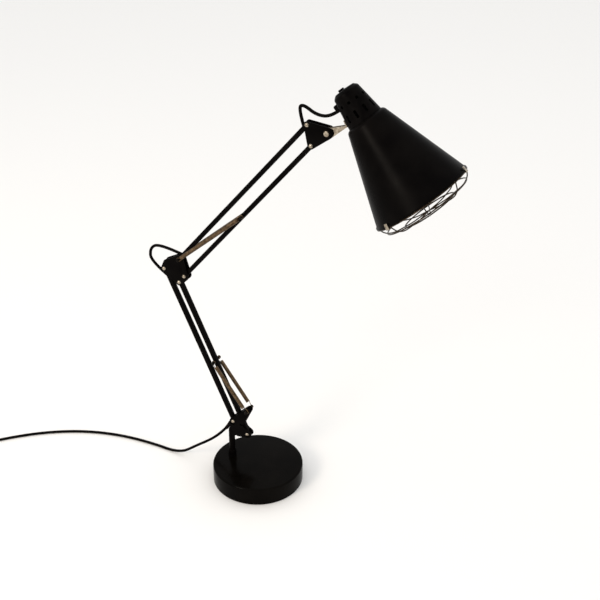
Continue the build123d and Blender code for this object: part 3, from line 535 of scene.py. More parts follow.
def place(piece: Piece, where: Matrix) -> Piece:
    """Moves a piece from its own frame to the lamp's and leaves its object at the origin.

    Args:
        piece: The piece.
        where: The matrix of its own frame.

    Returns:
        The same piece.
    """
    pick(piece)
    piece.matrix_world = where @ piece.matrix_world
    bpy.ops.object.transform_apply(location=True, rotation=True, scale=True)
    return piece


def tidy(piece: Piece, angle: float = 32.0) -> None:
    """Merges doubles, turns the faces outward and smooths all but the sharp edges.

    Args:
        piece: The piece.
        angle: Edges sharper than this stay sharp, in degrees.
    """
    edit(piece)
    bpy.ops.mesh.remove_doubles(threshold=2e-6)
    bpy.ops.mesh.normals_make_consistent(inside=False)
    to_mode("OBJECT")
    bpy.ops.object.shade_smooth_by_angle(angle=math.radians(angle))


def flatten(piece: Piece) -> None:
    """Merges doubles and dissolves the edges that lie in flat faces.

    Args:
        piece: The piece.
    """
    edit(piece)
    bpy.ops.mesh.remove_doubles(threshold=1e-5)
    bpy.ops.mesh.dissolve_limited(angle_limit=math.radians(1.0))
    to_mode("OBJECT")


def soften(piece: Piece, width_mm: float, segments: int = 2, angle: float = 35.0) -> None:
    """Rounds the sharp edges of a piece.

    Args:
        piece: The piece.
        width_mm: Width of the rounding.
        segments: Faces across it.
        angle: Edges sharper than this are rounded, in degrees.
    """
    modify(
        piece, "BEVEL", width=width_mm * MM, segments=segments, limit_method="ANGLE",
        angle_limit=math.radians(angle), use_clamp_overlap=True,
    )


def merged(pieces: list[Piece], name: str) -> Piece:
    """Joins separate solids into one object, as identical fasteners share a node.

    Args:
        pieces: The solids, which are used up.
        name: The piece's name.

    Returns:
        The joined piece.
    """
    pick(pieces[0])
    for piece in pieces:
        piece.select_set(True)
    if len(pieces) > 1:
        bpy.ops.object.join()
    joined = bpy.context.view_layer.objects.active
    joined.name = name
    joined.data.name = name
    return joined


def twin_of(piece: Piece) -> Piece:
    """A copy with its own mesh.

    Args:
        piece: The piece.

    Returns:
        The copy.
    """
    twin = piece.copy()
    twin.data = piece.data.copy()
    bpy.context.scene.collection.objects.link(twin)
    return twin


def repeated(master: Piece, places: list[Matrix], name: str) -> Piece:
    """Copies of a master, which is used up, at several places, as one piece.

    Args:
        master: The piece that is copied.
        places: A matrix for each copy.
        name: The piece's name.

    Returns:
        The joined piece.
    """
    copies = [place(twin_of(master), where) for where in places]
    bpy.data.objects.remove(master, do_unlink=True)
    return merged(copies, name)


def rounded(points: list[Triple], fan: int = 5) -> list[Flat]:
    """Turns an outline of (x, y, radius) corners to points, each radius a small fan of them.

    Args:
        points: The corners, each with its radius.
        fan: Steps on each rounded corner.

    Returns:
        The outline's points.
    """
    outline: list[Flat] = []
    for i, (x, y, radius) in enumerate(points):
        if radius == 0 or i in (0, len(points) - 1):
            outline.append((x, y))
            continue
        here = Vector((x, y))
        before = (Vector(points[i - 1][:2]) - here).normalized()
        after = (Vector(points[i + 1][:2]) - here).normalized()
        half = before.angle(after) / 2
        centre = here + (before + after).normalized() * (radius / math.sin(half))
        start = here + before * (radius / math.tan(half)) - centre
        sweep = math.pi - 2 * half
        turn = 1 if start.x * (here - centre).y - start.y * (here - centre).x > 0 else -1
        for k in range(fan + 1):
            a = turn * sweep * k / fan
            outline.append((
                centre.x + start.x * math.cos(a) - start.y * math.sin(a),
                centre.y + start.x * math.sin(a) + start.y * math.cos(a),
            ))
    return outline


def turned(name: str, corners: list[Triple], steps: int = 48, fan: int = 5) -> Piece:
    """Turns a closed or pole-to-pole outline round the local Z axis, as on a lathe.

    Args:
        name: The piece's name.
        corners: Radius, height and corner radius of each corner, in millimetres.
        steps: Steps of the spin.
        fan: Points on each rounded corner.

    Returns:
        The piece, in its own frame.
    """
    outline = rounded(corners, fan)
    clear_selection()
    bpy.ops.mesh.primitive_plane_add(size=MM, location=(0, 0, 0))
    piece = bpy.context.object
    piece.name = name
    edit(piece)
    bpy.ops.mesh.merge(type="CENTER")
    bpy.ops.transform.translate(value=(outline[0][0] * MM, 0, outline[0][1] * MM))
    for before, after in zip(outline, outline[1:]):
        step = ((after[0] - before[0]) * MM, 0, (after[1] - before[1]) * MM)
        bpy.ops.mesh.extrude_region_move(TRANSFORM_OT_translate={"value": step})
    bpy.ops.mesh.select_all(action="SELECT")
    bpy.ops.mesh.spin(steps=steps, angle=2 * math.pi, center=(0, 0, 0), axis=(0, 0, 1))
    to_mode("OBJECT")
    tidy(piece)
    return piece


def rod(
    name: str, radius: float, start: float, end: float, edge: float = 0.3, steps: int = 32
) -> Piece:
    """A turned rod on the local Z axis with rounded ends.

    Args:
        name: The piece's name.
        radius: Its radius.
        start: Its lower end.
        end: Its upper end.
        edge: Radius at its ends.
        steps: Steps of the spin.

    Returns:
        The rod.
    """
    return turned(
        name, [(0, start, 0), (radius, start, edge), (radius, end, edge), (0, end, 0)], steps, 3
    )


def block(
    name: str, size: Triple, centre: Triple = (0, 0, 0), edge: float = 0.0, segments: int = 3
) -> Piece:
    """A block with rounded edges, in its own frame and in millimetres.

    Args:
        name: The piece's name.
        size: Its three sizes.
        centre: Its middle.
        edge: Width of its rounding, 0 for none.
        segments: Faces across it.

    Returns:
        The block.
    """
    clear_selection()
    bpy.ops.mesh.primitive_cube_add(size=1, location=[c * MM for c in centre])
    piece = bpy.context.object
    piece.name = name
    piece.scale = [s * MM for s in size]
    bpy.ops.object.transform_apply(location=True, rotation=True, scale=True)
    if edge:
        soften(piece, edge, segments)
    return piece


def disc(lobe: Lobe, inner: float, outer: float, sides: int) -> Piece:
    """A disc on one centre between two distances from the arm plane.

    Args:
        lobe: Its centre and radius.
        inner: Its nearer face.
        outer: Its farther face.
        sides: Sides of its outline.

    Returns:
        The disc.
    """
    (x, z), radius = lobe
    bpy.ops.mesh.primitive_cylinder_add(
        vertices=sides, radius=radius * MM, depth=(outer - inner) * MM,
        location=(x * MM, (inner + outer) / 2 * MM, z * MM), rotation=(math.pi / 2, 0, 0),
    )
    return bpy.context.object


def hull(lobes: list[Lobe]) -> Piece:
    """A flat plate drawn tight round a set of discs, as thick as a cheek.

    Args:
        lobes: Centre and radius of each disc.

    Returns:
        The plate.
    """
    clear_selection()
    discs = [disc(lobe, CHEEK_INNER, CHEEK_OUTER, 56) for lobe in lobes]
    plate = place(merged(discs, "plate"), Matrix.Identity(4))
    edit(plate)
    bpy.ops.mesh.convex_hull()
    bpy.ops.mesh.select_all(action="SELECT")
    bpy.ops.mesh.dissolve_limited(angle_limit=math.radians(1.0))
    to_mode("OBJECT")
    return plate


def fill_corners(plate: Piece, radius: float) -> None:
    """Fills the inner corners of a plate, where two hulls meet, with a radius.

    Args:
        plate: The plate.
        radius: The radius, in millimetres.
    """
    faces_of: dict[tuple[int, int], list[bpy.types.MeshPolygon]] = {}

    def inner_corner(line: bpy.types.MeshEdge) -> bool:
        """Whether two faces meet inward on an edge that crosses the plate.

        Args:
            line: The edge.

        Returns:
            True where the corner is to be filled.
        """
        a, b = (plate.data.vertices[i].co for i in line.vertices)
        pair = faces_of.get(tuple(sorted(line.vertices)), [])
        if abs((b - a).normalized().y) <= 0.99 or len(pair) != 2:
            return False
        first, second = pair
        inward = first.normal.dot(second.center - first.center) > 1e-6
        return inward and first.normal.angle(second.normal) > math.radians(14)

    for face in plate.data.polygons:
        for key in face.edge_keys:
            faces_of.setdefault(key, []).append(face)
    corners = {line.index for line in plate.data.edges if inner_corner(line)}
    edit_where(plate, "EDGE", lambda line: line.index in corners)
    bpy.ops.mesh.bevel(offset=radius * MM, offset_type="WIDTH", segments=6, clamp_overlap=True)
    to_mode("OBJECT")


def cheeks(
    body: str, groups: list[list[Lobe]], holes: list[Lobe], fillet: float = 0.0
) -> None:
    """The near and far cheek, pressed from plate: hulls joined, corners filled, edges rounded.

    Args:
        body: The body that they ride on, which also names them.
        groups: The discs of each hull.
        holes: Centre and radius of each hole.
        fillet: Radius at the inner corners, in millimetres.
    """
    plate = hull(groups[0])
    for lobes in groups[1:]:
        combine(plate, hull(lobes), "UNION")
    flatten(plate)
    if fillet:
        fill_corners(plate, fillet)
    for hole in holes:
        clear_selection()
        combine(plate, place(disc(hole, 2.0, 10.0, 32), Matrix.Identity(4)))
    soften(plate, 0.35, 2, 50.0)
    tidy(plate, 40.0)
    plate.name = f"pressed_{body}_cheek_far"
    near = twin_of(plate)
    near.scale = (1, -1, 1)
    place(near, Matrix.Identity(4))
    tidy(near, 40.0)
    near.name = f"pressed_{body}_cheek_near"
    dress(near, ENAMEL, body, f"{body}_cheek_near")
    dress(plate, ENAMEL, body, f"{body}_cheek_far")


def new_curve(add: Callable[..., set], name: str, radius: float, resolution: int) -> Piece:
    """An empty 3D curve with a round bevel and closed ends.

    Args:
        add: The operator that adds it.
        name: The piece's name.
        radius: The wire's radius, in millimetres.
        resolution: The bevel's resolution.

    Returns:
        The curve.
    """
    clear_selection()
    add(location=(0, 0, 0))
    piece = bpy.context.object
    piece.name = name
    line = piece.data
    line.splines.clear()
    line.dimensions = "3D"
    line.bevel_depth = radius * MM
    line.bevel_resolution = resolution
    line.use_fill_caps = True
    return piece


def to_mesh(piece: Piece) -> Piece:
    """Turns the active curve to a mesh.

    Args:
        piece: The curve.

    Returns:
        The mesh piece.
    """
    pick(piece)
    bpy.ops.object.convert(target="MESH")
    return bpy.context.object


def wire(name: str, points: list[Vector], radius: float) -> Piece:
    """Round wire along a line of points in millimetres, made a mesh.

    Args:
        name: The piece's name.
        points: The line of its centre.
        radius: The wire's radius.

    Returns:
        The wire.
    """
    piece = new_curve(bpy.ops.curve.primitive_bezier_curve_add, name, radius, 1)
    spline = piece.data.splines.new("POLY")
    spline.points.add(len(points) - 1)
    for control, point in zip(spline.points, points):
        control.co = (*(point * MM), 1)
    piece = to_mesh(piece)
    tidy(piece, 60.0)
    return piece


def cord_line(name: str, points: list[Vector], radius: float, steps: int) -> Piece:
    """A round cord on one smooth NURBS line through its control points, in millimetres.

    Args:
        name: The piece's name.
        points: The line's control points.
        radius: Its radius.
        steps: Points on each stretch.

    Returns:
        The cord, still a curve.
    """
    cord = new_curve(bpy.ops.curve.primitive_nurbs_path_add, name, radius, 4)
    line = cord.data
    line.name = name
    spline = line.splines.new("NURBS")
    spline.points.add(len(points) - 1)
    for control, point in zip(spline.points, points):
        control.co = (*(point * MM), 1)
    spline.order_u = 3
    spline.use_endpoint_u = True
    line.resolution_u = steps
    return cord


def centre_line(cord: Piece) -> list[Vector]:
    """Points on a cord's own line, in metres, read from its spline with no bevel.

    Args:
        cord: The cord, a curve.

    Returns:
        The points, in order.
    """
    thickness = cord.data.bevel_depth
    cord.data.bevel_depth = 0
    bpy.context.view_layer.update()
    thread = bpy.data.meshes.new_from_object(cord)
    points = [vertex.co.copy() for vertex in thread.vertices]
    bpy.data.meshes.remove(thread)
    cord.data.bevel_depth = thickness
    return points


def line_length(points: list[Vector]) -> float:
    """Length of a line of points."""
    return sum((b - a).length for a, b in zip(points, points[1:]))


def dress(piece: Piece, finish: Finish, body: str | None, *nodes: str) -> Piece:
    """Gives a piece its finish, its body and the CAD nodes that it stands for.

    Args:
        piece: The finished piece.
        finish: Its finish.
        body: The body that it rides on, or None for a piece that rides on none.
        *nodes: The nodes that it replaces.

    Returns:
        The same piece.
    """
    piece.data.materials.clear()
    piece.data.materials.append(finish.material())
    if body is not None:
        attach(piece, body)
    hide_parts(*nodes)
    count = len(piece.data.polygons) if piece.type == "MESH" else 0
    LOG.info("%s in %s on %s, %d faces", piece.name, finish.name, body, count)
    return piece


# Fasteners


@dataclass
class Fasteners:
    """Domed pivot bolts and their nuts, modelled once and copied."""

    head_radius: float = 4.0
    head_height: float = 2.4
    shank_radius: float = 2.0
    nut_flats: float = 7.0
    nut_height: float = 3.0

    def bolt(self, grip: float) -> Piece:
        """A bolt on local Z: a domed head that starts at the grip, and its shank.

        Args:
            grip: Height of the face that the head sits on.

        Returns:
            The bolt.
        """
        dome, end = self.head_height, -grip - self.nut_height + 0.4
        return turned("bolt", [
            (0, grip + dome, 0), (self.head_radius * 0.55, grip + dome * 0.86, 0),
            (self.head_radius * 0.85, grip + dome * 0.55, 0),
            (self.head_radius, grip + dome * 0.16, 0), (self.head_radius, grip, 0),
            (self.shank_radius, grip, 0), (self.shank_radius, end, 0.4), (0, end, 0),
        ], 36, 3)

    def nut(self, flats: float, height: float, bore: float) -> Piece:
        """A hexagon nut on local Z from zero up, with turned corners and a bore.

        Args:
            flats: Width over its flats.
            height: Its height.
            bore: Radius of its bore.

        Returns:
            The nut.
        """
        clear_selection()
        corner = flats / 2 / math.cos(math.pi / 6)
        bpy.ops.mesh.primitive_cylinder_add(
            vertices=6, radius=corner * MM, depth=height * MM, location=(0, 0, height / 2 * MM)
        )
        hexagon = place(bpy.context.object, Matrix.Identity(4))
        cut = (corner - flats / 2) * 0.6
        face = flats / 2 * 0.97 - 0.2
        combine(hexagon, turned("chamfer", [
            (0, -0.2, 0), (face, -0.2, 0), (corner + 0.05, cut, 0),
            (corner + 0.05, height - cut, 0), (face, height + 0.2, 0), (0, height + 0.2, 0),
        ], 48), "INTERSECT")
        combine(hexagon, rod("bore", bore, -1, height + 1, 0))
        tidy(hexagon, 25.0)
        return hexagon

    def pivots(self, body: str, points: list[Flat]) -> None:
        """Bolts with their heads on the near side, and their nuts on the far side.

        Args:
            body: The body that they ride on.
            points: The pivots.
        """
        bolts = [across_frame(point, 0, Side.NEAR) for point in points]
        dress(repeated(self.bolt(CHEEK_OUTER), bolts, f"domed_{body}_bolts"), ZINC, body,
              f"{body}_bolts")
        nut = self.nut(self.nut_flats, self.nut_height, self.shank_radius)
        nuts = [across_frame(point, CHEEK_OUTER, Side.FAR) for point in points]
        dress(repeated(nut, nuts, f"hexagon_{body}_nuts"), BLACKENED, body, f"{body}_nuts")

    def spring_pin(self, point: Flat, body: str, node: str) -> None:
        """A cross pin with a flange at each end, which keeps the springs' hooks on.

        Args:
            point: Its place.
            body: The body that it rides on.
            node: The node that it replaces.
        """
        shoulder = PIN_REACH - PIN_FLANGE
        half = [(PIN_RADIUS, shoulder, 0.2), (FLANGE_RADIUS, shoulder, 0.3),
                (FLANGE_RADIUS, PIN_REACH, 0.4), (0, PIN_REACH, 0)]
        outline = [(r, -z, f) for r, z, f in reversed(half)] + half
        pin = place(turned("pin", outline, 32, 3), across_frame(point, 0, Side.NEAR))
        dress(merged([pin], f"turned_{node}"), BLACKENED, body, node)


# Springs


@dataclass
class HookedSpring:
    """A close-wound extension spring between two pins, with a leg and a hook at each end.

    It is made in a few lengths that meet end to end, cut at shares of the way from pin to pin.
    """

    start: Flat
    end: Flat
    pivot: Flat
    cuts: tuple[float, ...]
    bodies: tuple[str, str]
    node: str
    leg_in: float = 9.0
    leg_out: float = 9.0
    wire_radius: float = 0.7
    coil_radius: float = 3.5
    pitch: float = 1.5
    turn_points: int = 14

    def points(self, side: Side) -> list[Vector]:
        """The wire's line on one side of the lamp, in millimetres.

        Args:
            side: The side of the lamp.

        Returns:
            The points, hook to hook.
        """
        span = math.hypot(self.end[0] - self.start[0], self.end[1] - self.start[1])
        run = Vector((self.end[0] - self.start[0], 0, self.end[1] - self.start[1])) / span
        rise = Vector((-run.z, 0, run.x))
        out = Vector((0, side.value, 0))
        origin = Vector((self.start[0], side.value * SPRING_Y, self.start[1]))
        radius = self.coil_radius

        def at(x: float, y: float, z: float) -> Vector:
            """A point in the spring's own frame."""
            return origin + run * x + out * y + rise * z

        def hook(centre: float, degrees: range) -> list[Vector]:
            """The points of a hook round a pin."""
            turns = (math.radians(d) for d in degrees)
            return [at(centre + radius * math.cos(a), -2.0, radius * math.sin(a)) for a in turns]

        line = hook(0.0, range(20, 271, 10))
        coil = span - self.leg_in - self.leg_out
        turns = math.floor(coil / self.pitch) + 0.5
        line.append(at(self.leg_in * 0.4, -2.0, -radius))
        line.append(at(self.leg_in * 0.7, -1.2, -radius))
        count = int(turns * self.turn_points)
        for i in range(count + 1):
            a = -math.pi / 2 + 2 * math.pi * turns * i / count
            line.append(at(
                self.leg_in + coil * i / count, radius * math.cos(a), radius * math.sin(a)
            ))
        line.append(at(span - self.leg_out * 0.7, -1.2, radius))
        line.append(at(span - self.leg_out * 0.4, -2.0, radius))
        return line + hook(span, range(90, -161, -10))

    def follow(self, share: float) -> float:
        """How far a point on a straight line between the pins turns with the second body.

        Args:
            share: The point's share of the way from the first pin to the second.

        Returns:
            0 where it stays with the first body, 1 where it turns with the second.
        """
        span = math.dist(self.start, self.end)
        arm = sum(
            (a - p) * (b - a) / span for a, b, p in zip(self.start, self.end, self.pivot)
        )
        return share * (arm + span) / (arm + share * span)

    @staticmethod
    def eased(weight: float) -> float:
        """Where between its two ends a smooth turn has reached a weight."""
        return 0.5 - math.sin(math.asin(1 - 2 * weight) / 3)

    def build(self, side: Side) -> None:
        """Winds one side's spring and draws it in lengths, each on no body.

        Args:
            side: The side of the lamp.
        """
        first = Vector((self.start[0], 0, self.start[1]))
        last = Vector((self.end[0], 0, self.end[1]))
        run = last - first
        line = self.points(side)
        node = f"{self.node}_{side.name.lower()}"
        shares = [(point - first).dot(run) / run.length_squared for point in line]
        stops = [next(i for i, share in enumerate(shares) if share >= cut) for cut in self.cuts]
        turned_to = [0.0] + [self.eased(self.follow(shares[stop])) for stop in stops] + [1.0]
        stops = [0] + stops + [len(line) - 1]
        for i in range(len(stops) - 1):
            stretch = line[stops[i]:stops[i + 1] + 1]
            length = wire(f"wound_{node}_{i + 1}", stretch, self.wire_radius)
            dress(length, SPRING, None, node)
            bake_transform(length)


# Arms


@dataclass
class Arm:
    """A parallelogram: two bars of square tube, a spring pin, two springs, the lead inside."""

    name: str
    direction: Flat
    length: float
    lead_bar: str
    lead_start: Flat
    exits: list[tuple[Flat, Flat]]
    lead_ends: tuple[float, float]
    spring_bar: str
    spring: HookedSpring
    side: float = 9.0
    wall: float = 1.2
    corner: float = 1.2
    overhang: float = 6.0
    exit_radius: float = 3.6

    def bar(self, body: str, start: Flat, exits: list[tuple[Flat, Flat]]) -> None:
        """Draws a tube open at its ends, rounds its corners and cuts the lead's ways out.

        Args:
            body: The bar's body.
            start: Its first pivot.
            exits: A point inside and one outside for each way out.
        """
        total = self.length + 2 * self.overhang
        tube = block(
            f"square_{body}_bar", (self.side, self.side, total), (0, 0, total / 2 - self.overhang)
        )
        edit_where(tube, "EDGE", runs_along(tube, 2))
        bpy.ops.mesh.bevel(offset=self.corner * MM, segments=5)
        edit_where(tube, "FACE", lambda face: abs(face.normal.z) > 0.9)
        bpy.ops.mesh.delete(type="FACE")
        to_mode("OBJECT")
        modify(tube, "SOLIDIFY", thickness=self.wall * MM, offset=-1.0, use_even_offset=True)
        place(tube, run_frame(start, self.direction))
        for inner, outer in exits:
            aim = (outer[0] - inner[0], outer[1] - inner[1])
            combine(tube, place(rod("exit", self.exit_radius, 0, 14, 0), run_frame(inner, aim)))
        soften(tube, 0.25, 2, 60.0)
        tidy(tube, 30.0)
        dress(tube, ENAMEL, body, f"{body}_bar")

    def build(self) -> None:
        """Makes the arm's pieces."""
        self.bar(self.lead_bar, self.lead_start, self.exits)
        self.bar(self.spring_bar, self.spring.pivot, [])
        Fasteners().spring_pin(self.spring.end, self.spring_bar, f"{self.name}_spring_pin")
        for side in Side:
            self.spring.build(side)
        lead = rod(f"straight_{self.name}_lead", LEAD_RADIUS, *self.lead_ends, 0.4, 24)
        place(lead, run_frame(self.lead_start, self.direction))
        dress(lead, PVC, self.lead_bar, f"{self.name}_lead")


LOWER_ARM = Arm(
    "lower", LOWER_ALONG, LOWER_LENGTH, "lower_rear", FOOT_REAR,
    [(ELBOW_LOOP[0], ELBOW_LOOP[1])], (3.7, LOWER_LENGTH - 24.6), "lower_front",
    HookedSpring(HORN_TIP, LOWER_HOOK, FOOT_FRONT, (0.07, 0.16, 0.32, 0.6),
                 ("foot", "lower_front"), "lower_spring", 13.0, 9.5),
)
UPPER_ARM = Arm(
    "upper", UPPER_ALONG, UPPER_LENGTH, "upper_top", ELBOW_TOP,
    [(ELBOW_LOOP[-1], ELBOW_LOOP[-2]), (HEAD_LOOP[0], HEAD_LOOP[1])],
    (11.9, UPPER_LENGTH - 13.7), "upper_low",
    HookedSpring(ELBOW_TOP, UPPER_HOOK, ELBOW_LOW, (0.045, 0.1, 0.2, 0.45),
                 ("elbow", "upper_low"), "upper_spring"),
)


@dataclass
class LeadLoop:
    """A loop of lead across two joints, drawn in two halves."""

    name: str
    route: list[Flat]
    count: int
    share: float
    bodies: tuple[str, str, str]

    def build(self) -> None:
        """Parts the route a share of the way along the run after some points, and draws it."""
        before, after = self.route[self.count - 1], self.route[self.count]
        middle = (
            before[0] + (after[0] - before[0]) * self.share,
            before[1] + (after[1] - before[1]) * self.share,
        )
        first, joint, last = self.bodies
        self.half("lower", self.route[:self.count] + [middle], first, joint, "low")
        self.half("upper", [middle] + self.route[self.count:], joint, last, "high")

    def half(self, which: str, route: list[Flat], body: str, onward: str, node: str) -> None:
        """Args:
            which: The half, for its name.
            route: Its control points.
            body: The body at its start; not used.
            onward: The body at its end; not used.
            node: The last word of its node's name.
        """
        name = f"{self.name}_lead_{which}_half"
        cord = cord_line(name, [Vector((x, 0, z)) for x, z in route], LEAD_RADIUS, 14)
        path = centre_line(cord)
        tube = to_mesh(cord)
        tidy(tube, 60.0)
        dress(tube, PVC, None, f"{self.name}_lead_{node}")
        tuple(path[0])
        line_length(path)
        [tuple(p) for p in path]
        tuple(path[0])
        tuple(path[-1])
        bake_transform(tube)
        LOG.info("%s is %.1f mm long", name, line_length(path) / MM)


# Base and foot


@dataclass
class Base:
    """The weighted drum, its pad and the socket that the foot turns in."""

    radius: float = 95.0
    wall: float = 1.5
    edge: float = 4.0
    lift: float = 1.0
    hole_radius: float = 7.05
    pad_radius: float = 92.0
    pad_height: float = 2.5

    def drum(self) -> None:
        """The spun drum with its rolled shoulder and a hole for the socket."""
        r, h, w = self.radius, BASE_TOP, self.wall
        drum = turned("spun_base_drum", [
            (0, h, 0), (r, h, self.edge), (r, self.lift, 0.6), (r - w, self.lift, 0.3),
            (r - w, h - w, self.edge - w), (0, h - w, 0),
        ], 160, 8)
        combine(drum, place(rod("hole", self.hole_radius, h - 4, h + 4, 0), POST))
        tidy(drum, 30.0)
        dress(drum, LACQUER, "base", "base_shell")

    def build(self) -> None:
        """Makes the base's pieces: the drum, its soft pad, the collar with its bore, the weight."""
        self.drum()
        r, top = self.pad_radius, self.pad_height
        pad = turned("foam_base_pad", [(0, 0, 0), (r, 0, 0.9), (r, top, 0.5), (0, top, 0)], 120)
        dress(pad, FOAM, "base", "base_pad")
        h = BASE_TOP
        socket = turned("turned_pin_socket", [
            (6.55, 11, 0), (6.55, h + 15.0, 0.5), (8.5, h + 15.0, 1.2), (8.5, h + 1.6, 0.3),
            (9.0, h + 1.0, 0), (9.0, h, 0), (7.0, h, 0), (7.0, 8, 0.3), (0, 8, 0), (0, 11, 0),
            (6.55, 11, 0),
        ], 64)
        dress(place(socket, POST), ENAMEL, "base", "pin_socket")
        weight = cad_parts["base_weight"]
        weight.data.materials.clear()
        weight.data.materials.append(IRON.material())


@dataclass
class Foot:
    """The turning foot: pin, cheeks with their horns, rivets and pivots."""

    tab: Flat = (-2.35, -39.0)
    neck: Flat = (15.5, -1.0)
    waist: Flat = (15.5, -13.0)
    fill: Flat = (11.0, -27.0)
    lobe: float = 8.0
    fillet: float = 9.0
    rivet_rises: Flat = (54.0, 65.0)

    def pin(self) -> None:
        """The pin, with two flats where the cheeks clasp it."""
        top = BASE_TOP + 68
        pin = turned("turned_foot_pin", [
            (0, 11.5, 0), (6.5, 11.5, 1.0), (6.5, top, 0.8), (0, top, 0),
        ], 48)
        for side in Side:
            flat = block("flat", (20, 6, 30), (0, side.value * (CHEEK_INNER + 3), BASE_TOP + 62))
            combine(pin, flat)
        place(pin, POST)
        tidy(pin, 30.0)
        dress(pin, ENAMEL, "foot", "foot_pin")

    def rivets(self) -> None:
        """Two rivets through the cheeks and the pin, domed at both ends."""
        reach = WASHER_FACE
        head = [(2.5, CHEEK_OUTER, 0), (4.0, CHEEK_OUTER, 0), (3.7, reach - 0.6, 0),
                (2.4, reach - 0.12, 0), (0, reach, 0)]
        rivet = turned("rivet", [(r, -z, f) for r, z, f in reversed(head)] + head, 32)
        rises = [
            across_frame((POST_X, BASE_TOP + rise), 0, Side.NEAR) for rise in self.rivet_rises
        ]
        dress(repeated(rivet, rises, "domed_foot_rivets"), ENAMEL, "foot", "foot_rivets")

    def horn_pins(self) -> None:
        """Two stub pins on the horns, each with a flange that keeps the hook on."""
        shoulder = PIN_REACH - PIN_FLANGE
        stub = turned("stub", [
            (0, CHEEK_INNER, 0), (BOLT_HOLE, CHEEK_INNER, 0.2), (BOLT_HOLE, CHEEK_OUTER, 0),
            (PIN_RADIUS, CHEEK_OUTER, 0), (PIN_RADIUS, shoulder, 0),
            (FLANGE_RADIUS, shoulder, 0.3), (FLANGE_RADIUS, PIN_REACH, 0.4), (0, PIN_REACH, 0),
        ], 32, 3)
        horns = [across_frame(HORN_TIP, 0, side) for side in Side]
        dress(repeated(stub, horns, "turned_horn_pins"), BLACKENED, "foot", "horn_pins")

    def build(self) -> None:
        """Makes the foot's pieces."""
        self.pin()
        rear = (FOOT_REAR, self.lobe)
        neck = (shifted(FOOT_REAR, *self.neck), self.lobe)
        waist = (shifted(FOOT_REAR, *self.waist), self.lobe)
        fill = (shifted(FOOT_REAR, *self.fill), self.lobe)
        cheeks(
            "foot",
            [[rear, waist, fill, (FOOT_FRONT, 8.5)], [rear, (shifted(FOOT_REAR, *self.tab), 5.5)],
             [rear, neck, waist], [rear, neck, (HORN_TIP, 6.0)]],
            [(point, BOLT_HOLE) for point in (FOOT_REAR, FOOT_FRONT, HORN_TIP)],
            self.fillet,
        )
        self.rivets()
        self.horn_pins()
        Fasteners().pivots("foot", [FOOT_REAR, FOOT_FRONT])


# Elbow and head


@dataclass
class Elbow:
    """The elbow's cheeks, its pivots and the loop of lead behind it."""

    back: Lobe = (shifted(ELBOW_REAR, 7.2, 13.1), 8.0)

    def build(self) -> None:
        """Makes the elbow's pieces."""
        pivots = [ELBOW_REAR, ELBOW_FRONT, ELBOW_LOW]
        cheeks(
            "elbow",
            [[(ELBOW_REAR, 6.5), self.back, (ELBOW_TOP, 7.5), (ELBOW_LOW, 10.0),
              (ELBOW_FRONT, 7.0)]],
            [(point, BOLT_HOLE) for point in pivots] + [(ELBOW_TOP, PIN_HOLE)],
        )
        kit = Fasteners()
        kit.pivots("elbow", pivots)
        kit.spring_pin(ELBOW_TOP, "elbow", "elbow_spring_pin")
        LeadLoop("elbow", ELBOW_LOOP, 2, 0.45, ("lower_rear", "elbow", "upper_top")).build()


@dataclass
class Head:
    """The head's cheeks, its pivots, the tilt bolt and the loop of lead to the cap."""

    bolt_radius: float = 3.0
    head_radius: float = 5.0
    washer_radius: float = 7.0

    def tilt(self) -> None:
        """The tilt bolt with its socket head, two washers and the clamping nut."""
        face, r = WASHER_FACE, self.head_radius
        bolt = turned("socket_tilt_bolt", [
            (0, face + 1.4, 0), (1.7, face + 1.8, 0), (1.9, face + 3.0, 0.2), (r, face + 3.0, 0.9),
            (r, face, 0.2), (self.bolt_radius, face, 0), (self.bolt_radius, -face - 4.6, 0.5),
            (0, -face - 4.6, 0),
        ], 48)
        dress(place(bolt, across_frame(TILT, 0, Side.NEAR)), ZINC, "head", "tilt_bolt")
        washer = turned("washer", [
            (TILT_HOLE, CHEEK_OUTER, 0.1), (self.washer_radius, CHEEK_OUTER, 0.3),
            (self.washer_radius, face, 0.3), (TILT_HOLE, face, 0.1), (TILT_HOLE, CHEEK_OUTER, 0),
        ], 48, 2)
        sides = [across_frame(TILT, 0, side) for side in Side]
        dress(repeated(washer, sides, "plain_tilt_washers"), BLACKENED, "head", "tilt_washers")
        nut = Fasteners().nut(10.0, 5.0, self.bolt_radius)
        place(nut, across_frame(TILT, face, Side.FAR))
        nut.name = "hexagon_tilt_nut"
        dress(nut, BLACKENED, "head", "tilt_nut")

    def build(self) -> None:
        """Makes the head's pieces."""
        cheeks(
            "head", [[(HEAD_TOP, 6.2), (HEAD_LOW, 6.5), (TILT, 11.0)]],
            [(HEAD_TOP, BOLT_HOLE), (HEAD_LOW, BOLT_HOLE), (TILT, TILT_HOLE)],
        )
        Fasteners().pivots("head", [HEAD_TOP, HEAD_LOW])
        self.tilt()
        LeadLoop("head", HEAD_LOOP, 3, 0.5, ("upper_top", "head", "shade")).build()


# Shade


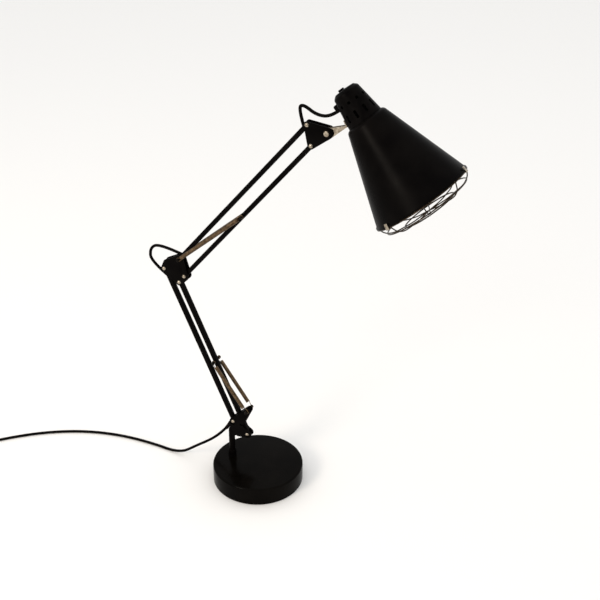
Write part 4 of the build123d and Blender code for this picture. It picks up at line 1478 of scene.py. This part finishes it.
@dataclass
class Shade:
    """The spun shade, its slotted cap, the bracket, the lampholder and the guard."""

    shoulder: float = 36.6
    mouth: float = 91.7
    length: float = 164.4
    wall: float = 1.0
    foot: float = 32.2
    top: float = 24.2
    back: float = 55.0
    neck: float = 20.2
    button_x: float = -5.0
    button_top: float = 64.6
    # Each ring's share of the mouth's radius and its depth past the mouth's edge
    rings: tuple[Flat, ...] = ((1.0, 1.2), (0.883, 26.5 * 0.64), (0.545, 26.5 * 0.94))
    crown: float = 25.3
    ring_wire: float = 1.2
    spoke_wire: float = 1.1
    # Start and end of each row of slots behind the shoulder
    slot_rows: tuple[Flat, ...] = ((9.7, 23.5), (36.0, 41.0))
    slot_width: float = 5.0
    clip_angles: Triple = (-4.0, 116.0, 236.0)

    def cone(self) -> None:
        """The spun cone with a rolled rim; enamel outside, white inside."""
        slope = (self.mouth - self.shoulder) / self.length
        inset = self.wall * math.sqrt(1 + slope * slope)
        inner = self.shoulder + slope * self.wall - inset
        end, rim = self.length, self.mouth
        cone = turned("spun_shade", [
            (self.neck, 0, 0), (self.shoulder, 0, 8.5), (rim - slope * 2.6, end - 2.6, 0),
            (rim + 0.5, end - 2.3, 0.3), (rim + 1.15, end - 1.2, 1.0), (rim + 0.5, end, 0.4),
            (rim - 0.9, end, 0.3), (rim - inset, end - 1.6, 0), (inner, self.wall, 7.5),
            (self.neck, self.wall, 0), (self.neck, 0, 0),
        ], 192, 10)
        place(cone, SHADE_FRAME)
        dress(cone, ENAMEL, "shade", "shade")
        cone.data.materials.append(REFLECTOR.material())
        axis = SHADE_FRAME.to_3x3().col[2]
        for face in cone.data.polygons:
            offset = face.center - SHADE_FRAME.translation
            depth = offset.dot(axis)
            radial = offset - axis * depth
            floor = face.normal.dot(axis) > 0.9 and depth < 0.02
            if (face.normal.dot(radial) < 0 or floor) and depth < (end - 1.4) * MM:
                face.material_index = 1

    def cap(self) -> None:
        """The moulded cap: a tapered cup, a bracket pad, a boss for the lead, rows of slots."""
        cap = turned("moulded_cap", [
            (self.foot, 0, 0.5), (self.top, -self.back, 5.0), (18.0, -60.5, 3.0), (0, -62.0, 0),
            (0, -60.0, 0), (16.0, -58.5, 1.5), (self.top - 2, -self.back, 3.0),
            (self.foot - 2, 0, 0.3), (self.foot, 0, 0),
        ], 120, 5)
        combine(cap, block("boss", (9.5, 14, 14), (-29.0, 0, -41), 3.0, 4), "UNION")
        pad_z = 12.7
        inward = pad_z * (self.foot - self.top) / self.back
        pad = block("pad", (5.0, 18, 12.6), (-self.foot + 2.6, 0, -pad_z), 0.6, 2)
        combine(cap, place(pad, moved(inward)), "UNION")
        for start, end in self.slot_rows:
            for i in range(10):
                angle = math.radians(78 + 36 * i)
                if math.cos(angle) < -0.9:
                    continue
                size = (20, self.slot_width, end - start)
                slot = block("slot", size, (30.0, 0, -(start + end) / 2), 1.2)
                combine(cap, place(slot, Matrix.Rotation(angle, 4, "Z")))
        combine(cap, place(rod("button_hole", 5.6, -70, -50, 0), moved(self.button_x)))
        place(cap, SHADE_FRAME)
        before, entry = HEAD_LOOP[-2:]
        aim = (before[0] - entry[0], before[1] - entry[1])
        combine(cap, place(rod("lead_hole", 3.3, -12, 14, 0), run_frame(entry, aim)))
        soften(cap, 0.25, 2, 50.0)
        tidy(cap, 35.0)
        dress(cap, PLASTIC, "shade", "cap")

    def bracket(self) -> None:
        """The bare steel clevis, folded from strip, with two screws into the cap."""
        bracket = twin_of(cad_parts["shade_bracket"])
        bracket.name = "folded_bracket"
        bracket.parent = None
        bracket.matrix_world = Matrix.Identity(4)
        for key in list(bracket.keys()):
            del bracket[key]
        flatten(bracket)
        soften(bracket, 0.3, 2, 40.0)
        tidy(bracket, 35.0)
        dress(bracket, ZINC, "shade", "shade_bracket")
        slope = (self.foot - self.top) / self.back
        at = 8 + 11 * 0.55
        screw = turned("screw", [
            (0, 0, 0), (2.8, 0, 0.1), (2.7, 0.7, 0.2), (1.9, 1.4, 0.3), (0, 1.6, 0),
        ], 32)
        combine(screw, block("groove", (0.7, 6, 1.4), (0, 0, 1.7)))
        where = SHADE_FRAME @ moved(-(self.foot - slope * at) - 1.6, 0, -at) @ Matrix.Rotation(
            -math.pi / 2 - math.atan(slope), 4, "Y"
        )
        places = [where @ moved(0, y) for y in (-5.0, 5.0)]
        screws = repeated(screw, places, "slotted_bracket_screws")
        tidy(screws, 30.0)
        dress(screws, ZINC, "shade", "bracket_screws")

    def button(self) -> None:
        """The push button, dished on top, with its collar and stem."""
        top = self.button_top
        button = turned("dished_switch_button", [
            (0, -top + 0.5, 0), (3.6, -top + 0.35, 0), (4.4, -top, 0.3), (5.5, -top, 0.7),
            (5.5, -58.2, 0), (7.5, -58.2, 0.3), (7.5, -56.7, 0.3), (3.0, -56.7, 0),
            (3.0, -48.8, 0.4), (0, -48.8, 0),
        ], 48)
        place(button, SHADE_FRAME @ moved(self.button_x))
        dress(button, PLASTIC, "button", "switch_button")

    def holder(self) -> None:
        """The lampholder with its skirt, its screw shell and the ring that clamps it."""
        holder = turned("moulded_lampholder", [
            (0, -46, 0), (16, -46, 1.5), (16, -2, 0.3), (24, -2, 0.5), (24, 0, 0.2),
            (19.5, 0, 0.2), (19.5, 24, 1.2), (13.9, 24, 0.8), (13.9, -6, 0.3), (0, -6, 0),
        ], 64)
        dress(place(holder, SHADE_FRAME), PLASTIC, "shade", "lampholder")
        crests = [(13.3 + (0.45 if i % 2 else -0.35), -5.6 + i * 1.8, 0.5) for i in range(13)]
        outside = [(min(r + 0.4, 13.8), z, 0) for r, z, _ in reversed(crests)]
        shell = turned(
            "rolled_screw_shell", crests + [(13.8, 16.2, 0)] + outside + [crests[0]], 64, 3
        )
        contact = turned("contact", [
            (0, -6, 0), (4.0, -6, 0), (4.0, -4.4, 0.6), (0, -3.9, 0),
        ], 32)
        pair = merged([shell, contact], "rolled_holder_contacts")
        dress(place(pair, SHADE_FRAME), BRASS, "shade", "holder_contacts")
        ring = place(turned("grip_ring", [
            (19.6, 1, 0.2), (25, 1, 0.5), (25, 7, 0.8), (19.6, 7, 0.4), (19.6, 1, 0),
        ], 96), SHADE_FRAME)
        ring.name = "moulded_holder_ring"
        dress(ring, PLASTIC, "shade", "holder_ring")

    def guard(self) -> None:
        """Three wire rings and the spokes that cross them, welded into a dome."""
        places = [(self.mouth * share, self.length + depth) for share, depth in self.rings]
        pieces = []
        for radius, depth in places:
            clear_selection()
            bpy.ops.mesh.primitive_torus_add(
                location=(0, 0, depth * MM), major_radius=radius * MM,
                minor_radius=self.ring_wire * MM, major_segments=144, minor_segments=10,
            )
            pieces.append(place(bpy.context.object, Matrix.Identity(4)))
        pieces += [self.spoke(places, math.pi * (i + 0.5) / 4) for i in range(4)]
        guard = place(merged(pieces, "welded_guard"), SHADE_FRAME)
        tidy(guard, 60.0)
        dress(guard, GUARD, "shade", "guard")

    def spoke(self, places: list[Flat], angle: float) -> Piece:
        """One wire from rim to rim through the dome's crown, a smooth bow behind the rings.

        Args:
            places: Radius and depth of each ring.
            angle: Its angle round the axis.

        Returns:
            The spoke.
        """
        bow = new_curve(bpy.ops.curve.primitive_bezier_curve_add, "spoke", self.spoke_wire, 2)
        spline = bow.data.splines.new("BEZIER")
        stops = places + [(0.0, self.length + self.crown)]
        stops += [(-r, z) for r, z in reversed(places)]
        spline.bezier_points.add(len(stops) - 1)
        for knot, (radius, depth) in zip(spline.bezier_points, stops):
            knot.co = (radius * MM * math.cos(angle), radius * MM * math.sin(angle), depth * MM)
            knot.handle_left_type = knot.handle_right_type = "AUTO"
        return to_mesh(bow)

    def clips(self) -> None:
        """Three clips folded over the rim to hold the guard, bright where the plating shows."""
        lean = 0.6 * math.atan2(self.mouth - self.shoulder, self.length)
        strip = moved(self.mouth + 1.75, 0, self.length - 2.3) @ Matrix.Rotation(lean, 4, "Y")
        copies = []
        for degrees in self.clip_angles:
            clip = place(block("clip", (1.4, 8.0, 11.0), edge=0.6), strip)
            fold = (self.mouth - 0.1, 0, self.length + 2.9)
            combine(clip, block("fold", (7.0, 8.0, 1.0), fold, 0.45), "UNION")
            place(clip, SHADE_FRAME @ Matrix.Rotation(math.radians(degrees), 4, "Z"))
            tidy(clip, 35.0)
            copies.append(clip)
        dress(merged(copies, "pressed_guard_clips"), ZINC, "shade", "guard_clips")

    def build(self) -> None:
        """Makes the shade's pieces."""
        self.cone()
        self.cap()
        self.bracket()
        self.button()
        self.holder()
        self.guard()
        self.clips()


# Mains lead


@dataclass
class MainsLead:
    """The lead from the foot over the table to its coil, with its relief, tie and plug."""

    turn_radii: Triple = (27.0, 33.0, 39.0)
    # Angle, radius and layer at each stage of the coil: inward on the table, back out on top
    stages: tuple[tuple[int, int, int], ...] = (
        (0, 2, 0), (300, 2, 0), (360, 1, 0), (660, 1, 0), (720, 0, 0), (960, 0, 0), (1020, 0, 1),
        (1260, 0, 1), (1320, 1, 1), (1620, 1, 1), (1680, 2, 1), (1890, 2, 1),
    )
    step: float = 22.5

    def route(self) -> list[Vector]:
        """The free stretch, from the foot to the coil.

        Returns:
            Control points, in millimetres.
        """
        drop = [(-1.5, 82), (-19, 57), (-47, 27), (-86, -2)]
        floor = [(-130, 0), (-205, 8), (-285, 6), (-365, -12), (-440, -48), (-506, -98),
                 (-563, -157)]
        points = [Vector((POST_X + x, 0, BASE_TOP + z)) for x, z in drop]
        return points + [Vector((POST_X + x, y, LEAD_RADIUS)) for x, y in floor]

    def coil(self, centre: Vector, ahead: Vector, left: Vector) -> list[Vector]:
        """Control points of the coil's turns.

        Args:
            centre: The coil's middle, on the table.
            ahead: The lead's heading where the coil starts.
            left: The direction to the heading's left.

        Returns:
            Control points, in millimetres.
        """
        heights = (LEAD_RADIUS, 3 * LEAD_RADIUS)
        stages = [(a, self.turn_radii[r], heights[layer]) for a, r, layer in self.stages]
        spread = 1 / math.cos(math.radians(self.step / 2))
        points = []
        for count in range(int(stages[-1][0] / self.step)):
            degrees = (count + 0.5) * self.step
            for (a, r0, z0), (b, r1, z1) in zip(stages, stages[1:]):
                if a <= degrees <= b:
                    share = (degrees - a) / (b - a)
                    radius, height = r0 + (r1 - r0) * share, z0 + (z1 - z0) * share
            angle = math.radians(degrees)
            arm = -left * math.cos(angle) + ahead * math.sin(angle)
            point = centre + arm * radius * spread
            point.z = height
            points.append(point)
        return points

    def build(self) -> None:
        """Lays the lead, ties the coil and fits the relief and plug."""
        route = self.route()
        ahead = (route[-1] - route[-2]).normalized()
        left = Vector((0, 0, 1)).cross(ahead)
        centre = route[-1] + ahead * 24.0 + left * self.turn_radii[2]
        centre.z = 0
        plug_start = centre + ahead * self.turn_radii[2]
        plug_start.z = 3 * LEAD_RADIUS
        points = route + self.coil(centre, ahead, left) + [plug_start + left * 25.0]
        lead = cord_line("mains_lead_in_one_length", points, LEAD_RADIUS, 5)
        LOG.info("mains lead is %.0f mm long", line_length(centre_line(lead)) / MM)
        relief = self.relief(points[0], points[1])
        plug = self.plug(plug_start + left * 24.0, left)
        tie = self.tie(centre, left)
        dress(lead, PVC, "foot", "mains_lead", "lead_coil")

    def relief(self, start: Vector, onward: Vector) -> Piece:
        """The tapered relief where the lead leaves the foot.

        Args:
            start: Where the lead leaves.
            onward: The next point.

        Returns:
            The relief.
        """
        relief = turned("tapered_lead_relief", [
            (3.05, -4, 0), (5.2, -4, 0.5), (5.2, 4, 0.6), (4.6, 4.6, 0), (4.5, 9, 0.2),
            (4.1, 9.6, 0.2), (4.2, 13, 0.2), (3.8, 13.6, 0.2), (3.8, 20, 0.3), (3.05, 21, 0),
            (3.05, -4, 0),
        ], 40, 3)
        place(relief, frame_at(start, Vector((0, 1, 0)), onward - start))
        return dress(relief, PVC, "foot", "foot_grommet")

    def tie(self, centre: Vector, left: Vector) -> Piece:
        """The band that holds the turns together.

        Args:
            centre: The coil's middle.
            left: The coil's left.

        Returns:
            The tie.
        """
        small, _, large = self.turn_radii
        wide = large - small + 2 * LEAD_RADIUS + 1.4
        band = block("tie_band", (wide, 8.0, 12.4), (0, 0, 6.3))
        edit_where(band, "FACE", lambda face: abs(face.normal.y) > 0.9)
        bpy.ops.mesh.delete(type="FACE")
        edit_where(band, "EDGE", runs_along(band, 1))
        bpy.ops.mesh.bevel(offset=2.6 * MM, segments=6)
        to_mode("OBJECT")
        modify(band, "SOLIDIFY", thickness=0.6 * MM, offset=-1.0)
        soften(band, 0.15, 2, 60.0)
        tidy(band, 35.0)
        place(band, frame_at(centre - left * ((large + small) / 2), -left, Vector((0, 0, 1))))
        band.name = "wrapped_coil_tie"
        return dress(band, PVC, "foot", "lead_coil")

    def plug(self, start: Vector, heading: Vector) -> Piece:
        """The moulded plug: a ribbed neck, a body that widens to its face, and two pins.

        Args:
            start: Where the neck starts.
            heading: Where it points.

        Returns:
            The plug's shell.
        """
        neck = turned("neck", [
            (3.0, -1, 0), (3.6, 0, 0.4), (3.9, 5, 0.3), (3.5, 5.6, 0.2), (3.5, 7, 0.2),
            (4.4, 7.6, 0.3), (4.5, 11.5, 0.3), (4.0, 12.1, 0.2), (4.0, 13.5, 0.2),
            (5.0, 14.1, 0.3), (5.1, 18.5, 0.3), (4.5, 19.1, 0.2), (4.5, 20.5, 0.2),
            (5.5, 21.1, 0.3), (5.5, 28, 0), (3.0, 28, 0), (3.0, -1, 0),
        ], 32, 2)
        body = block("body", (18, 26, 38), (0, 0, 45))
        edit_where(body, "FACE", lambda face: face.normal.z > 0.9)
        bpy.ops.transform.resize(value=(1, 35 / 26, 1))
        to_mode("OBJECT")
        soften(body, 4.0, 5, 30.0)
        soften(body, 0.4, 1, 20.0)
        tidy(body, 30.0)
        pins = [place(rod("pin", 2.4, 60, 83, 0.9, 24), moved(0, y)) for y in (-9.5, 9.5)]
        where = frame_at(start, Vector((0, 0, 1)), heading)
        shell = place(merged([body, neck], "moulded_plug"), where)
        prongs = place(merged(pins, "brass_plug_pins"), where)
        dress(shell, PLASTIC, "foot", "plug")
        dress(prongs, ZINC, "foot", "plug")
        return shell


# Stage


@dataclass
class Studio:
    """The floor, the soft lights and the camera at the photograph's place."""

    azimuth: float = 22.53
    elevation: float = 28.9
    roll: float = 0.49
    lens: float = 60.64
    stand: Triple = (736.5, -1550.2, 1377.6)
    aim: Triple = (0.0, 0.0, 0.45)

    def floor(self) -> None:
        """A wide pale floor, matt as paper."""
        clear_selection()
        bpy.ops.mesh.primitive_plane_add(size=60, location=(0, 0, -0.0002))
        floor = bpy.context.object
        floor.name = "pale_floor"
        made = bpy.data.materials.new("Matt pale paper")
        made.use_nodes = True
        tree = made.node_tree
        tree.nodes.clear()
        shader = add_node(
            tree, "ShaderNodeBsdfPrincipled",
            {"Base Color": linear("f4f3f1"), "Roughness": 0.9, "Specular IOR Level": 0.1},
        )
        add_node(tree, "ShaderNodeOutputMaterial", {"Surface": shader.outputs[0]})
        floor.data.materials.append(made)

    def light(self, name: str, at: Triple, size: float, power: float, colour: str) -> None:
        """A square soft light aimed at the middle of the lamp.

        Args:
            name: Its name.
            at: Its place, in metres.
            size: Its side, in metres.
            power: Its power, in watts.
            colour: Its colour, six hex digits.
        """
        clear_selection()
        bpy.ops.object.light_add(type="AREA", location=at)
        lamp = bpy.context.object
        lamp.name = name
        lamp.data.size = size
        lamp.data.energy = power
        lamp.data.color = linear(colour)[:3]
        aim = Vector(self.aim) - Vector(at)
        lamp.rotation_euler = aim.to_track_quat("-Z", "Y").to_euler()

    def camera(self) -> None:
        """The camera, from the photograph's own fit."""
        az, el, roll = (math.radians(v) for v in (self.azimuth, self.elevation, self.roll))
        forward = Vector((
            -math.sin(az) * math.cos(el), math.cos(az) * math.cos(el), -math.sin(el)
        ))
        right = Vector((math.cos(az), math.sin(az), 0))
        up = right.cross(forward)
        across = right * math.cos(roll) + up * math.sin(roll)
        above = up * math.cos(roll) - right * math.sin(roll)
        clear_selection()
        bpy.ops.object.camera_add()
        camera = bpy.context.object
        camera.data.lens = self.lens
        camera.data.sensor_width = 36.0
        placed = Matrix((across, above, -forward)).transposed().to_4x4()
        placed.translation = Vector(self.stand) * MM
        camera.matrix_world = placed
        bpy.context.scene.camera = camera

    def build(self) -> None:
        """Sets the stage: mostly white light from all round, with a small warm key."""
        self.floor()
        self.light("window_key", (-1.1, -2.6, 1.9), 0.9, 40.0, "fff1e0")
        self.light("overhead_fill", (0.3, 0.5, 4.2), 4.0, 18.0, "ffffff")
        world = bpy.data.worlds.new("soft_room")
        world.use_nodes = True
        background = world.node_tree.nodes["Background"]
        background.inputs["Color"].default_value = linear("ffffff")
        background.inputs["Strength"].default_value = 0.95
        bpy.context.scene.world = world
        bpy.context.scene.view_settings.view_transform = "Standard"
        self.camera()


def main() -> None:
    """Builds the lamp piece by piece."""
    logging.basicConfig(level=logging.INFO, format="%(name)s %(message)s")
    for part in (
        Studio(), MainsLead(), Base(), Foot(), LOWER_ARM, Elbow(), UPPER_ARM, Head(), Shade()
    ):
        part.build()


if __name__ == "__main__":
    main()
